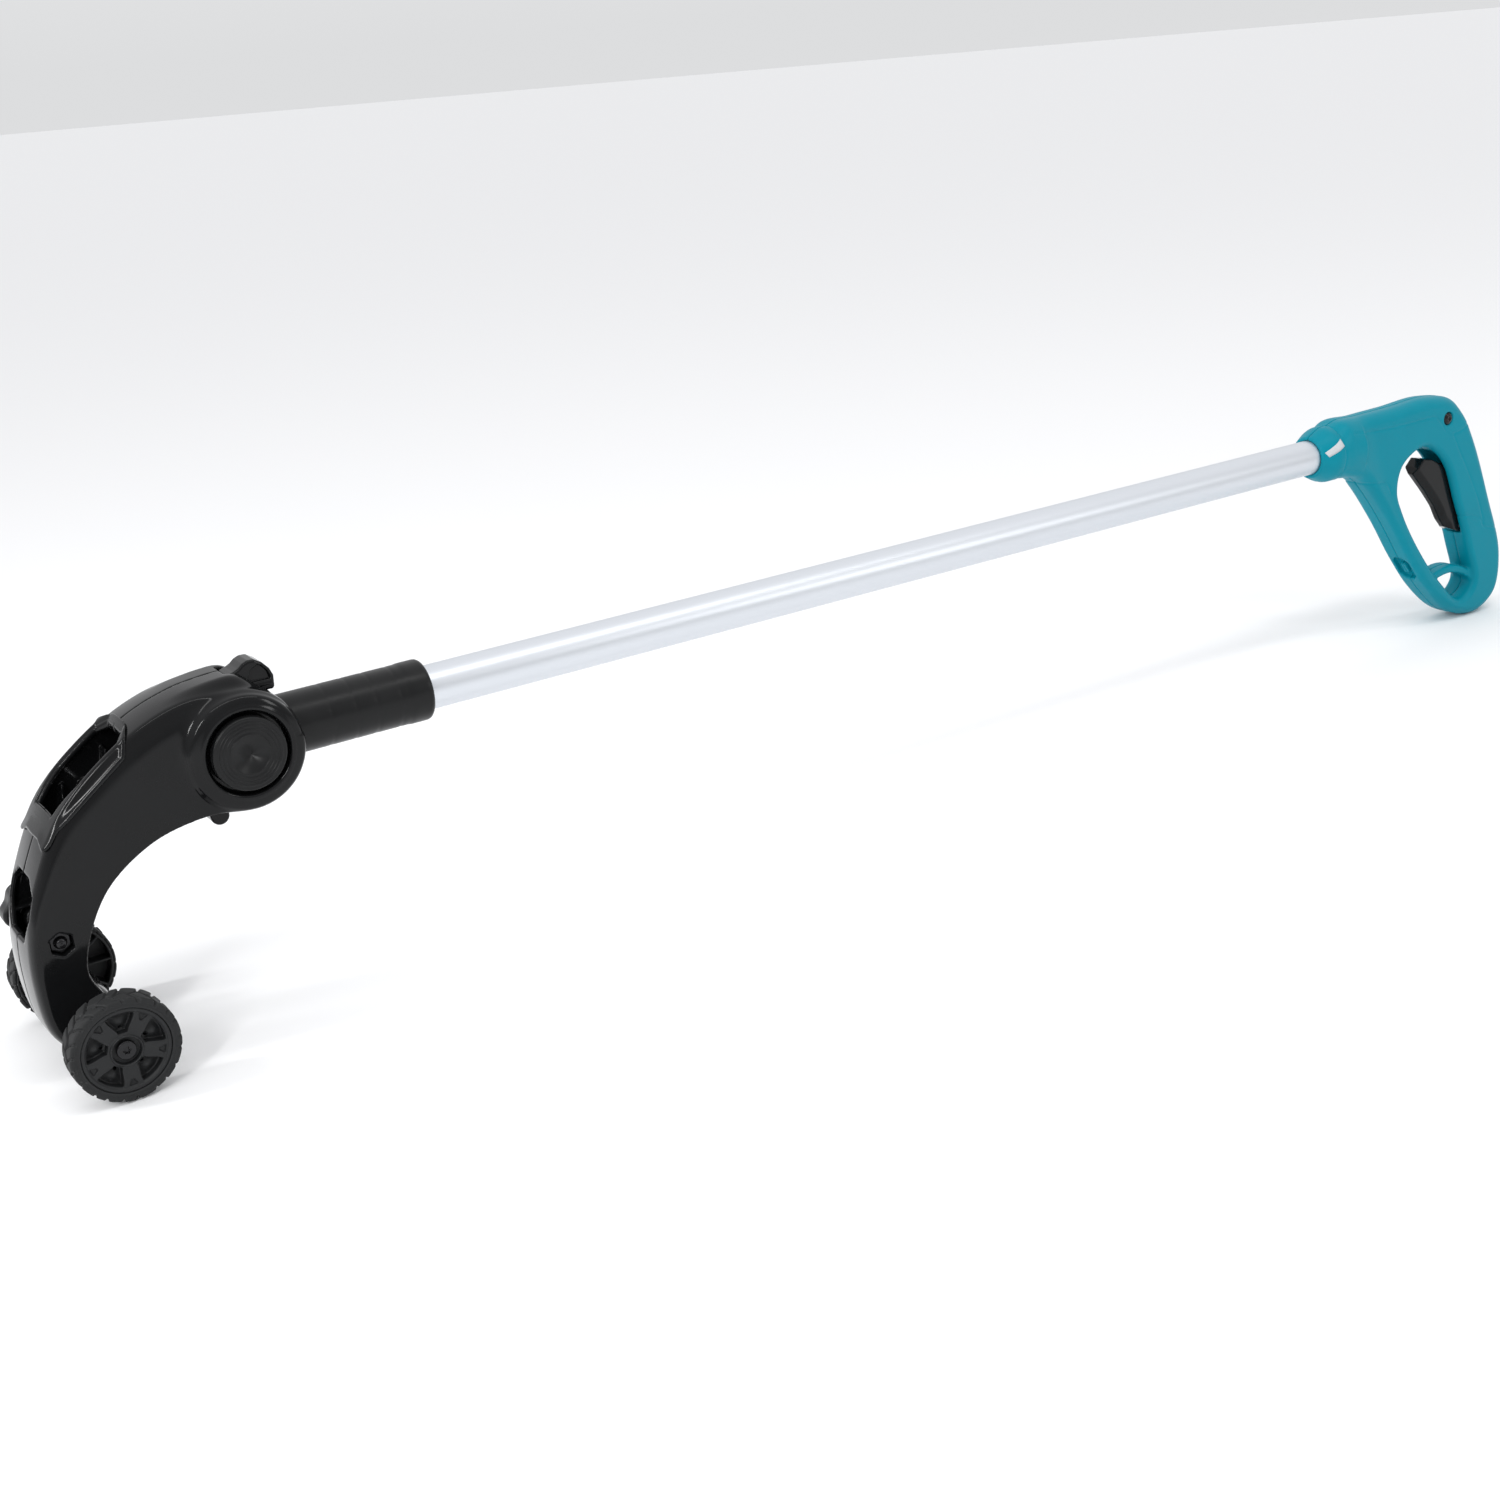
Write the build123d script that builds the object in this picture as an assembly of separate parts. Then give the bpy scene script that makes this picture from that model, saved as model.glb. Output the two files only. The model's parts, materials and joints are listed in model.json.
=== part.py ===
"""Long-handled, two-wheeled carrier for a small hand-held garden tool.

Everything is drawn in the pole's frame: X along the tube from the pivot to the handle, Y to the far side,
Z up, zero at the pivot. The near side (-Y) is called left and the far side (+Y) right. stand() then turns and
lifts the finished solids, so that the wheels and the heel of the handle rest on Z = 0.
"""
from build123d import *
from math import asin, atan2, cos, degrees, hypot, radians, sin
import os

os.makedirs("parts", exist_ok=True)

# ---------------------------------------------------------------- driving dimensions (mm, degrees)
FIT = 0.05                      # radial clearance of a pin or shaft in its hole
GAP = 0.4                       # clearance between pieces that move past each other
SEAM = 0.1                      # clearance between pieces of one assembly that seat in each other
WALL = 2.6                      # moulded wall thickness

TUBE_D = 25.0
TUBE_WALL = 1.5
TUBE_START = 34.0
TUBE_LENGTH = 838.0
TUBE_END = TUBE_START + TUBE_LENGTH
SLEEVE_D = 34.6
SLEEVE_END = 110.8
KNUCKLE_R = 18.0
KNUCKLE_HALF = 17.6
AXLE_R = 4.0
TILT_UP = 10.0                  # head tilt limits
TILT_DOWN = 50.0
FAN_REACH = 70.0                # how far from the pivot the head leaves room for the tilting sleeve

HEAD_HALF = 26.0                # half width of the head
BOSS_R = 30.2                   # round boss of the head at the pivot
BOSS_FACE = HEAD_HALF + 5.0
BUTTON_R = 19.8
BUTTON_PROUD = 2.6
BUTTON_SKIRT = 2.4              # depth of the button's disc below the boss face
BUTTON_TRAVEL = 4.0
BUTTON_WELL = 7.0               # depth of its well
RING_GROOVE = 2.4               # from the button's edge to the groove round it
PEG_R = 1.6                     # pegs of the button that push the lock gear
PEG_CIRCLE = 9.5
GEAR_R = 13.0
GEAR_TEETH = 24
GEAR_WIDTH = 9.0
GEAR_FACE = 21.2                # outer face of a lock gear at rest
COVER_PROUD = 1.0               # window cover above the spine
COVER_HALF = HEAD_HALF - 3.0

HANDLE_HALF = 13.0
COLLAR_D = 41.0
COLLAR_START = TUBE_END - 55.0
COLLAR_END = TUBE_END + 8.0

WHEEL_R = 28.0
WHEEL_WIDTH = 17.0
RIM_R = 22.6
TRACK_HALF = 58.6               # wheel mid-planes from the middle
WHEEL_X = -97.5
WHEEL_Z = -121.5
HOUSING_R = 13.0                # axle housing, inside the head
AXLE_ARM_R = 8.5                # and between the head and the wheels
WHEEL_AXLE_R = 3.0

ROD_R = 1.5
ROD_Z = -6.5                    # pull rod below the tube's axis
ROD_ROOM = 1.5                  # room beside the pull rod where it leaves the tube
ROD_END = TUBE_END + 69.0
NIPPLE_R = 2.2
NIPPLE_X = -25.8
HOOK_X = TUBE_END + 105.0       # where the rod's hook takes the trigger
HOOK_Z = -38.0
PIN_R = 1.5                     # small steel pins
TRIGGER_X = TUBE_END + 113.0
TRIGGER_Z = -84.0
TRIGGER_HALF = 6.5
ROCKER_X = -20.0
ROCKER_Z = -24.0
LEVER_X = 6.0                   # release lever's pin
LEVER_Z = 33.0
LEVER_HALF = 8.0
CLAMP_X = -109.2                # clamp bolt through the leg
CLAMP_Z = -74.0
CLAMP_R = 3.0
KNOB_R = 16.0
NUT_FLATS = 10.0
NUT_HEIGHT = 5.0
NUT_SINK = 0.5                  # outer face of the nut below the side of the head
LUG_HALF = 6.5                  # half width of the tool's lug between the clamp posts

# spine and belly of the head, foot round the wheel axle
SPINE = [(-24.0, 31.6), (-46.0, 25.6), (-70.0, 12.5), (-96.0, -9.5), (-113.2, -39.0), (-122.3, -64.0),
         (-125.6, -95.0), (-121.6, -124.0)]
FOOT = [(-108.0, -137.0), (-88.0, -130.0)]
BELLY = [(-93.0, -110.0), (-99.5, -92.0), (-84.0, -55.5), (-57.0, -35.8), (-30.0, -29.6)]
SPINE_END = Vector(0.3, -0.95)
BELLY_START = Vector(-0.45, 0.89)
# screws that close the head
HEAD_SCREWS = [(-36.0, 13.0), (-72.0, -12.0), (-106.0, -52.0), (-112.0, -98.0)]


def past_tube(*points):
    """Points of the handle, given as distances past the tube's end and heights over its axis."""
    return [(TUBE_END + x, z) for x, z in points]


# rim of the D-handle, its grip opening and the screws that close it
HANDLE_RIM = past_tube((3.0, -35.0), (27.0, -65.5), (51.0, -98.0), (73.0, -125.0), (100.0, -149.0), (131.0, -158.0),
                       (154.0, -145.0), (158.5, -113.0), (140.0, -63.5), (116.5, -11.5), (96.0, 15.5), (68.0, 22.0))
HEEL = HANDLE_RIM[5]
OPENING = past_tube((38.0, -22.0), (32.5, -40.0), (40.0, -60.0), (60.5, -92.5), (85.0, -122.0), (110.0, -142.0),
                    (125.0, -132.0), (116.0, -99.0), (101.5, -62.0), (86.0, -28.0), (63.0, -12.0))
HANDLE_SCREWS = past_tube((86.0, 6.0), (17.0, -32.0), (68.0, -110.0), (139.0, -112.0))


# ---------------------------------------------------------------- helpers


def along_y(radius, y_low, y_high, x=0.0, z=0.0):
    """Cylinder along Y between two Y values."""
    return Pos(x, (y_low + y_high) / 2, z) * Rot(90, 0, 0) * Cylinder(radius, y_high - y_low)


def along_x(radius, x_low, x_high, y=0.0, z=0.0):
    """Cylinder along X between two X values."""
    return Pos((x_low + x_high) / 2, y, z) * Rot(0, 90, 0) * Cylinder(radius, x_high - x_low)


def block(x_low, x_high, y_low, y_high, z_low, z_high):
    """Box between two corners."""
    centre = Pos((x_low + x_high) / 2, (y_low + y_high) / 2, (z_low + z_high) / 2)
    return centre * Box(x_high - x_low, y_high - y_low, z_high - z_low)


def slab(face, y_low, y_high):
    """A face drawn as (x, z) made solid between two Y values."""
    return Pos(0, y_high, 0) * Rot(90, 0, 0) * extrude(face, amount=y_high - y_low, dir=(0, 0, 1))


def flat(points):
    """A face with straight sides."""
    return make_face(Polyline(*points, close=True))


def other_side(shape):
    return mirror(shape, about=Plane.XZ)


def hexagon(across_flats, x, z):
    return Pos(x, z) * RegularPolygon(across_flats / 2, 6, major_radius=False)


def wheel_disc(radius, y_low, y_high):
    return along_y(radius, y_low, y_high, WHEEL_X, WHEEL_Z)


def pan_screw(x, z, y_seat, y_tip, shank_r, head_r, head_height):
    """Pan-head screw along Y with a six-sided drive recess, its head outward from the seat."""
    side = 1 if y_seat > y_tip else -1
    top = y_seat + side * head_height
    drive = y_seat + side * head_height * 0.4
    shank = along_y(shank_r, min(y_seat, y_tip), max(y_seat, y_tip), x, z)
    head = along_y(head_r, min(y_seat, top), max(y_seat, top), x, z)
    recess = slab(hexagon(head_r * 0.8, x, z), min(drive, top), max(drive, top))
    return shank + head - recess


def coil(radius, wire_r, length, turns):
    """Compression spring standing on Z = 0."""
    height = length - 2 * wire_r
    path = Helix(pitch=height / turns, height=height, radius=radius)
    start = Plane(origin=path @ 0, z_dir=path % 0)
    return Pos(0, 0, wire_r) * sweep(start * Circle(wire_r), path=path)


def toothed(radius, root, teeth, y_low, y_high):
    """Disc with straight square teeth."""
    across = 2 * radius * sin(radians(90 / teeth))
    outline = Circle(root) + PolarLocations(0, teeth // 2) * Rectangle(2 * radius, across)
    return slab(outline, y_low, y_high)


def rounded_bar(x1, z1, r1, x2, z2, r2):
    """Outline of a link between two round ends."""
    ends = Pos(x1, z1) * Circle(r1) + Pos(x2, z2) * Circle(r2)
    return make_hull(ends.edges())


# ---------------------------------------------------------------- head outlines


def on_boss(angle):
    return Vector(BOSS_R * cos(radians(angle)), BOSS_R * sin(radians(angle)))


def along_boss(angle):
    return Vector(-sin(radians(angle)), cos(radians(angle)))


def parallel(edge, inset, periodic=False, count=28):
    """Curve at a constant distance to the left of an edge."""
    steps = [step / count for step in range(count if periodic else count + 1)]
    points = [edge @ step + Vector(-(edge % step).Y, (edge % step).X) * inset for step in steps]
    if periodic:
        return Spline(*points, periodic=True)
    return Spline(*points, tangents=[edge % 0, edge % 1])


def head_face(inset=0.0):
    """Side view of the arched head, from the round boss over the spine to the foot and back by the belly."""
    spine = Spline(on_boss(93), *SPINE, tangents=[along_boss(93), SPINE_END])
    foot = Spline(spine @ 1, *FOOT, BELLY[0], tangents=[SPINE_END, BELLY_START])
    belly = Spline(*BELLY, on_boss(266), tangents=[BELLY_START, along_boss(266)])
    sides = [parallel(edge, inset) for edge in (spine, foot, belly)]
    boss = ThreePointArc(sides[2] @ 1, Vector(BOSS_R - inset, 0), sides[0] @ 0)
    return Face(Wire([*sides, boss]))


def swing_face():
    """The fan that the sleeve sweeps between the tilt limits, seen from the head."""
    half = SLEEVE_D / 2 + 2 * GAP
    reach = FAN_REACH
    up, down = radians(TILT_UP), radians(TILT_DOWN)
    fan = [(-half * sin(up), half * cos(up)), (reach * cos(up) - half * sin(up), reach * sin(up) + half * cos(up)),
           (reach * 1.3, 0), (reach * cos(down) - half * sin(down), -reach * sin(down) - half * cos(down)),
           (-half * sin(down), -half * cos(down))]
    return flat(fan) + Circle(KNUCKLE_R + GAP)


HEAD = head_face()
HEAD_INSIDE = head_face(WALL)
COVER_REGION = flat([(-50.0, 60.0), (-50.0, 12.0), (-97.0, -22.0), (-160.0, -50.0), (-160.0, 60.0)])
COVER_OUT = head_face(-COVER_PROUD)
COVER_UNDER = head_face(WALL / 2 + SEAM)


def cover_window():
    """Six-sided window through the cover, narrowing towards its lower end."""
    plan = [(-57.0, -12.0), (-62.0, -18.5), (-84.0, -18.5), (-97.5, -14.0), (-97.5, 14.0), (-84.0, 18.5),
            (-62.0, 18.5), (-57.0, 12.0)]
    return Pos(0, 0, -14) * extrude(flat(plan), amount=60)


def spine_window():
    """Small window in the lower spine, with cut corners."""
    outline = Plane.YZ * flat([(-10, -41), (-20, -48), (-20, -59), (-13, -72), (13, -72), (20, -59), (20, -48), (10, -41)])
    return Pos(-140, 0, 0) * extrude(outline, amount=40)


def screw_post(x, z, side, y_end):
    """Post inside a shell that a shell screw passes through or bites into."""
    low, high = (-HEAD_HALF + WALL - SEAM, y_end) if side < 0 else (y_end, HEAD_HALF - WALL + SEAM)
    return along_y(4.2, low, high, x, z)


def head_shell():
    """Left half of the head, from the outer wall to the parting plane."""
    inner_y = HEAD_HALF - WALL
    shell = slab(HEAD, -HEAD_HALF, 0) - slab(HEAD_INSIDE, -inner_y, 1)
    # solid cheek at the pivot, between the outer face and the knuckle
    shell += along_y(BOSS_R, -BOSS_FACE, -KNUCKLE_HALF - GAP)
    shell -= slab(swing_face(), -KNUCKLE_HALF - GAP, 1)
    # raised pad under the release lever
    pad = slab(flat([(-20.0, 28.0), (-14.0, 37.5), (9.0, 38.0), (11.0, 27.0)]), -15, 0)
    shell += pad - slab(HEAD_INSIDE, -15, 1)
    # seat and hole for the window cover
    shell -= slab((COVER_OUT - COVER_UNDER) & COVER_REGION, -COVER_HALF - SEAM, 1)
    shell -= slab(HEAD & flat([(-54.0, 60.0), (-54.0, 15.0), (-95.0, -18.0), (-160.0, -36.0), (-160.0, 60.0)]), -19, 1)
    shell -= spine_window()
    # posts for the screws, the rocker pin and the axle housing
    for x, z in HEAD_SCREWS:
        shell += screw_post(x, z, -1, -SEAM / 2)
    shell += along_y(4.0, -inner_y - SEAM, -6.2, ROCKER_X, ROCKER_Z)
    shell += along_y(HOUSING_R + WALL, -inner_y - SEAM, -SEAM / 2, WHEEL_X, WHEEL_Z)
    shell += along_y(8.0, -inner_y - SEAM, -LUG_HALF, CLAMP_X, CLAMP_Z)
    # slots in the belly for the tool's lug and the rocker's tip, notch in the pad for the lever
    shell -= block(CLAMP_X, CLAMP_X + 26, -LUG_HALF, 1, CLAMP_Z - 9, CLAMP_Z + 9)
    shell -= block(-27, -2, -7.5, 1, -45, -22)
    shell -= block(LEVER_X - 5, LEVER_X + 30, -LEVER_HALF - GAP, 1, LEVER_Z - 5, 60)
    return shell


def pierce_head(shell):
    """Bores that run through a shell along Y, and the pockets of its cheek."""
    shell -= along_y(AXLE_R + FIT, -BOSS_FACE - 1, 0)
    shell -= along_y(BUTTON_R + 0.5, -BOSS_FACE - 1, -BOSS_FACE + BUTTON_WELL)
    groove = along_y(BUTTON_R + RING_GROOVE + 1.8, -BOSS_FACE - 1, -BOSS_FACE + 1.2)
    shell -= groove - along_y(BUTTON_R + RING_GROOVE, -BOSS_FACE - 1, -BOSS_FACE + 2)
    shell -= along_y(GEAR_R + GAP, -GEAR_FACE - 0.8, 0)
    for turn in range(3):
        shell -= Rot(0, 120 * turn, 0) * along_y(PEG_R + 0.3, -BOSS_FACE + BUTTON_WELL - 1, 0, PEG_CIRCLE, 0)
    shell -= along_y(PIN_R + FIT, -15, 0, ROCKER_X, ROCKER_Z)
    shell -= along_y(CLAMP_R + FIT, -HEAD_HALF - 1, 1, CLAMP_X, CLAMP_Z)
    shell -= wheel_disc(HOUSING_R + SEAM, -HEAD_HALF - 1, 1)
    shell -= along_y(PIN_R + FIT, -LEVER_HALF - 5, 1, LEVER_X, LEVER_Z)
    return shell


def head_pieces():
    """Everything that tilts as one with the head, but for the moving controls."""
    blank = pierce_head(head_shell())
    left, right = blank, other_side(blank)
    nut_face = -HEAD_HALF + NUT_SINK
    left -= slab(hexagon(NUT_FLATS + 2 * SEAM, CLAMP_X, CLAMP_Z), -HEAD_HALF - 1, nut_face + NUT_HEIGHT + 0.5)
    seat = HEAD_HALF - 2.8
    for x, z in HEAD_SCREWS:
        left -= along_y(PIN_R + FIT, -HEAD_HALF + 6, 1, x, z)
        right -= along_y(PIN_R + 2 * FIT, -1, HEAD_HALF + 1, x, z)
        right -= along_y(3.6, seat, HEAD_HALF + 1, x, z)
    nodes = {"head_shell_left": left, "head_shell_right": right}
    band = (COVER_OUT - head_face(WALL / 2)) & COVER_REGION
    cover = slab(band, -COVER_HALF, COVER_HALF) - cover_window()
    nodes["window_cover"] = cover
    nodes["head_screws"] = Compound([pan_screw(x, z, seat, -14, PIN_R, 3.2, 2.2) for x, z in HEAD_SCREWS])
    axle_end = BOSS_FACE - BUTTON_SKIRT - BUTTON_TRAVEL - GAP
    nodes["pivot_axle"] = along_y(AXLE_R, -axle_end, axle_end)
    nodes["rocker_pin"] = along_y(PIN_R, -14, 14, ROCKER_X, ROCKER_Z)
    nodes["lever_pin"] = along_y(PIN_R, -LEVER_HALF - 4.5, LEVER_HALF + 4.5, LEVER_X, LEVER_Z)
    nut = slab(hexagon(NUT_FLATS, CLAMP_X, CLAMP_Z), nut_face, nut_face + NUT_HEIGHT)
    nodes["clamp_nut"] = nut - along_y(CLAMP_R + FIT, nut_face - 1, 0, CLAMP_X, CLAMP_Z)
    return nodes


def axle_pieces():
    """Axle housing across the foot, with the screws and washers that carry the wheels."""
    end = TRACK_HALF - WHEEL_WIDTH / 2 - 1.6
    head_seat = TRACK_HALF + WHEEL_WIDTH / 2 - 3.0
    housing = wheel_disc(HOUSING_R, -HEAD_HALF - GAP, HEAD_HALF + GAP) + wheel_disc(AXLE_ARM_R, -end, end)
    flare = Cone(HOUSING_R, AXLE_ARM_R, 8.0)
    right_flare = Pos(WHEEL_X, HEAD_HALF + GAP + 4.0, WHEEL_Z) * Rot(-90, 0, 0) * flare
    housing += right_flare + other_side(right_flare)
    screws, washers = [], []
    for side in (-1, 1):
        low, high = sorted((side * (end - 14), side * (end + 1)))
        housing -= wheel_disc(WHEEL_AXLE_R + FIT, low, high)
        screws.append(pan_screw(WHEEL_X, WHEEL_Z, side * head_seat, side * (end - 12), WHEEL_AXLE_R, 5.6, 2.4))
        low, high = sorted((side * (end + 0.1), side * (end + 1.3)))
        washers.append(wheel_disc(8.0, low, high) - wheel_disc(WHEEL_AXLE_R + FIT, low - 1, high + 1))
    return {"axle_housing": housing, "axle_screws": Compound(screws), "axle_washers": Compound(washers)}


def wheel_pieces():
    """Spoked hub and tyre of the left wheel."""
    outer = -TRACK_HALF - WHEEL_WIDTH / 2
    inner = -TRACK_HALF + WHEEL_WIDTH / 2
    hub = wheel_disc(RIM_R, outer + 0.6, inner)
    pocket = flat([(8.5, -2.4), (18.5, -7.2), (20.0, 0.0), (18.5, 7.2), (8.5, 2.4)])
    web = flat([(9.5, -4.4), (19.0, -9.6), (20.4, 0.0), (19.0, 9.6), (9.5, 4.4)])
    for spoke in range(5):
        place = Pos(WHEEL_X, 0, WHEEL_Z) * Rot(0, 72 * spoke - 90, 0)
        hub -= place * slab(pocket, outer - 1, outer + 7)
        hub -= place * slab(web, outer + 9.5, inner + 1)
    hub -= wheel_disc(7.8, outer - 1, outer + 3.0 + GAP)
    hub -= wheel_disc(WHEEL_AXLE_R + FIT, outer - 1, inner + 1)
    tyre = wheel_disc(WHEEL_R, outer, inner)
    tyre = chamfer(tyre.edges().filter_by(GeomType.CIRCLE), 1.5)
    tyre -= wheel_disc(RIM_R + FIT, outer - 1, inner + 1)
    return {"wheel_hub": hub, "tyre": tyre}


def control_pieces():
    """Buttons, lock gears, springs, release lever, rocker and clamp knob."""
    nodes = {}
    crown = -BOSS_FACE - BUTTON_PROUD
    button = along_y(BUTTON_R, crown, -BOSS_FACE + BUTTON_SKIRT)
    for turn in range(3):
        button += Rot(0, 120 * turn, 0) * along_y(PEG_R, -BOSS_FACE + 2, -GEAR_FACE - 0.3, PEG_CIRCLE, 0)
    for ring in (0.545, 0.672, 0.773, 0.859):
        inner = ring * BUTTON_R - 0.5
        button -= along_y(ring * BUTTON_R, crown - 1, crown + 0.4) - along_y(inner, crown - 2, crown + 1)
    gear = toothed(GEAR_R, GEAR_R - 1.6, GEAR_TEETH, -GEAR_FACE, -GEAR_FACE + GEAR_WIDTH)
    gear -= along_y(AXLE_R + FIT, -GEAR_FACE - 1, 0)
    spring_seat = GEAR_FACE - GEAR_WIDTH - 0.2
    spring = Pos(0, -4.8, 0) * Rot(90, 0, 0) * coil(8.0, 0.5, spring_seat - 4.8, 3)
    for side, turn in (("left", lambda shape: shape), ("right", other_side)):
        nodes["pivot_button_" + side] = turn(button)
        nodes["lock_gear_" + side] = turn(gear)
        nodes["lock_spring_" + side] = turn(spring)
    tab = flat([(LEVER_X - 3.2, LEVER_Z + 2.4), (11.0, 39.8), (16.5, 41.5), (21.5, 39.6), (26.2, 33.0), (26.6, 27.5),
                (24.6, 25.0), (20.0, 27.0), (14.0, 29.4), (LEVER_X, LEVER_Z - 4.0)])
    lever = slab(tab + Pos(LEVER_X, LEVER_Z) * Circle(4.0), -LEVER_HALF, LEVER_HALF)
    lever -= along_y(PIN_R + FIT, -20, 20, LEVER_X, LEVER_Z)
    lever -= block(LEVER_X - 6, LEVER_X + 4.5, -3, 3, LEVER_Z - 6, LEVER_Z + 4.5)
    pocket = flat([(13.5, 31.0), (15.5, 37.5), (20.5, 38.0), (24.0, 32.5), (24.0, 28.5)])
    nodes["release_lever"] = lever - slab(pocket, -LEVER_HALF - 1, -LEVER_HALF + 4)
    nodes["lever_spring"] = Pos(LEVER_X, 2.6, LEVER_Z) * Rot(90, 0, 0) * coil(2.9, 0.45, 5.2, 4)
    arm = rounded_bar(NIPPLE_X, ROD_Z, 2.0, ROCKER_X, ROCKER_Z, 4.0)
    leg = rounded_bar(ROCKER_X, ROCKER_Z, 4.0, ROCKER_X + 6, ROCKER_Z - 14, 4.0)
    cheek = slab(arm + leg, -5.5, -NIPPLE_R - 0.6)
    rocker = cheek + other_side(cheek) + along_y(5.0, -6.5, 6.5, ROCKER_X + 6, ROCKER_Z - 14)
    nodes["switch_rocker"] = rocker - along_y(PIN_R + FIT, -9, 9, ROCKER_X, ROCKER_Z)
    lobes = Circle(KNOB_R - 4) + PolarLocations(KNOB_R - 4, 6) * Circle(4)
    grip = Pos(CLAMP_X, 0, CLAMP_Z) * slab(lobes, HEAD_HALF + 3, HEAD_HALF + 15)
    neck = along_y(8.0, HEAD_HALF + 0.5, HEAD_HALF + 4, CLAMP_X, CLAMP_Z)
    nodes["clamp_knob"] = grip + neck - along_y(CLAMP_R + FIT, HEAD_HALF - 1, HEAD_HALF + 12, CLAMP_X, CLAMP_Z)
    nodes["clamp_bolt"] = along_y(CLAMP_R, -HEAD_HALF + NUT_SINK + 0.2, HEAD_HALF + 11.8, CLAMP_X, CLAMP_Z)
    return nodes


# ---------------------------------------------------------------- pole


def pole_pieces():
    """Tube, socket sleeve with its knuckle, and the guides of the pull rod."""
    bore = TUBE_D / 2 - TUBE_WALL
    tube = along_x(TUBE_D / 2, TUBE_START, TUBE_END) - along_x(bore, TUBE_START - 1, TUBE_END + 1)
    sleeve = along_y(KNUCKLE_R, -KNUCKLE_HALF, KNUCKLE_HALF) + along_x(SLEEVE_D / 2, 0, SLEEVE_END)
    sleeve = chamfer(sleeve.edges().group_by(Axis.X)[-1], 2.0)
    sleeve -= along_x(TUBE_D / 2 + FIT, TUBE_START - SEAM, SLEEVE_END + 1)
    sleeve -= along_x(ROD_R + 1.2, -30, TUBE_START + 1, 0, ROD_Z)
    sleeve -= along_y(AXLE_R + FIT, -30, 30)
    for low, high in ((-30, -4.6), (4.6, 30)):
        sleeve -= along_y(GEAR_R + GAP, low, high)
    guides = []
    first, last = SLEEVE_END + 49.2, TUBE_END - 132.0
    for x in (first, (first + last) / 2, last):
        guide = along_x(bore - FIT, x, x + 8) - along_x(ROD_R + FIT, x - 1, x + 9, 0, ROD_Z)
        guides.append(guide)
    rod = along_x(ROD_R, NIPPLE_X, ROD_END, 0, ROD_Z) + Pos(NIPPLE_X, 0, ROD_Z) * Sphere(NIPPLE_R)
    start = ROD_END + 0.5
    plate = flat([(start, -9.2), (start, -3.0), (HOOK_X - 8.5, -3.0), (HOOK_X + 3.5, -22.0), (HOOK_X + 4.0, -41.0),
                  (HOOK_X - 4.0, -41.0), (HOOK_X - 4.5, -24.0), (HOOK_X - 13.0, -9.2)])
    hook = slab(plate, -1, 1) + along_y(PIN_R, -4.5, 4.5, HOOK_X, HOOK_Z)
    hook += along_x(ROD_R + 1.0, start, start + 8.5, 0, ROD_Z)
    return {"main_tube": tube, "socket_sleeve": sleeve, "rod_guides": Compound(guides), "pull_rod": rod,
            "rod_hook": hook}


# ---------------------------------------------------------------- handle


def handle_rim():
    return Spline((TUBE_END - 10, -COLLAR_D / 2 - 1), *HANDLE_RIM)


def handle_face():
    """Side view of the handle: the rim from under the collar round the heel and grip to the flat top."""
    collar = COLLAR_D / 2
    rim = handle_rim()
    top = Line(rim @ 1, (COLLAR_START, collar))
    mouth = Line(top @ 1, (COLLAR_START, -collar))
    return Face(Wire([rim, top, mouth, Line(mouth @ 1, rim @ 0)]))


def handle_hollow():
    """Side view of the room inside the handle."""
    rim = parallel(handle_rim(), WALL, count=48)
    top = Line(rim @ 1, (COLLAR_END, COLLAR_D / 2 - WALL))
    room = Face(Wire([rim, top, Line(top @ 1, rim @ 0)]))
    return room - Face(Wire([parallel(Spline(*OPENING, periodic=True), -WALL, True, 48)]))


def hanging_bar():
    """Arched bar across the lower corner of the grip opening, which leaves an eye to hang the pole by."""
    top = ThreePointArc(*past_tube((81.0, -116.5), (106.0, -114.5), (130.0, -128.0)))
    under = ThreePointArc(*past_tube((130.0, -133.0), (105.0, -120.0), (84.0, -121.0)))
    return Face(Wire([top, Line(top @ 1, under @ 0), under, Line(under @ 1, top @ 0)]))


def trigger_face():
    """Blade that the fingers pull, and the tongue behind it that takes the rod's hook."""
    return flat(past_tube((59.5, -33.5), (62.0, -28.0), (68.0, -22.5), (77.0, -24.5), (94.0, -33.0), (113.0, -33.0),
                          (114.0, -60.0), (118.0, -84.0), (115.0, -88.5), (110.0, -88.0), (96.5, -80.5),
                          (85.0, -63.5), (73.0, -49.0)))


def turned_trigger(face, angle):
    pin = Pos(TRIGGER_X, TRIGGER_Z)
    return pin * Rot(0, 0, -angle) * pin.inverse() * face


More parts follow.
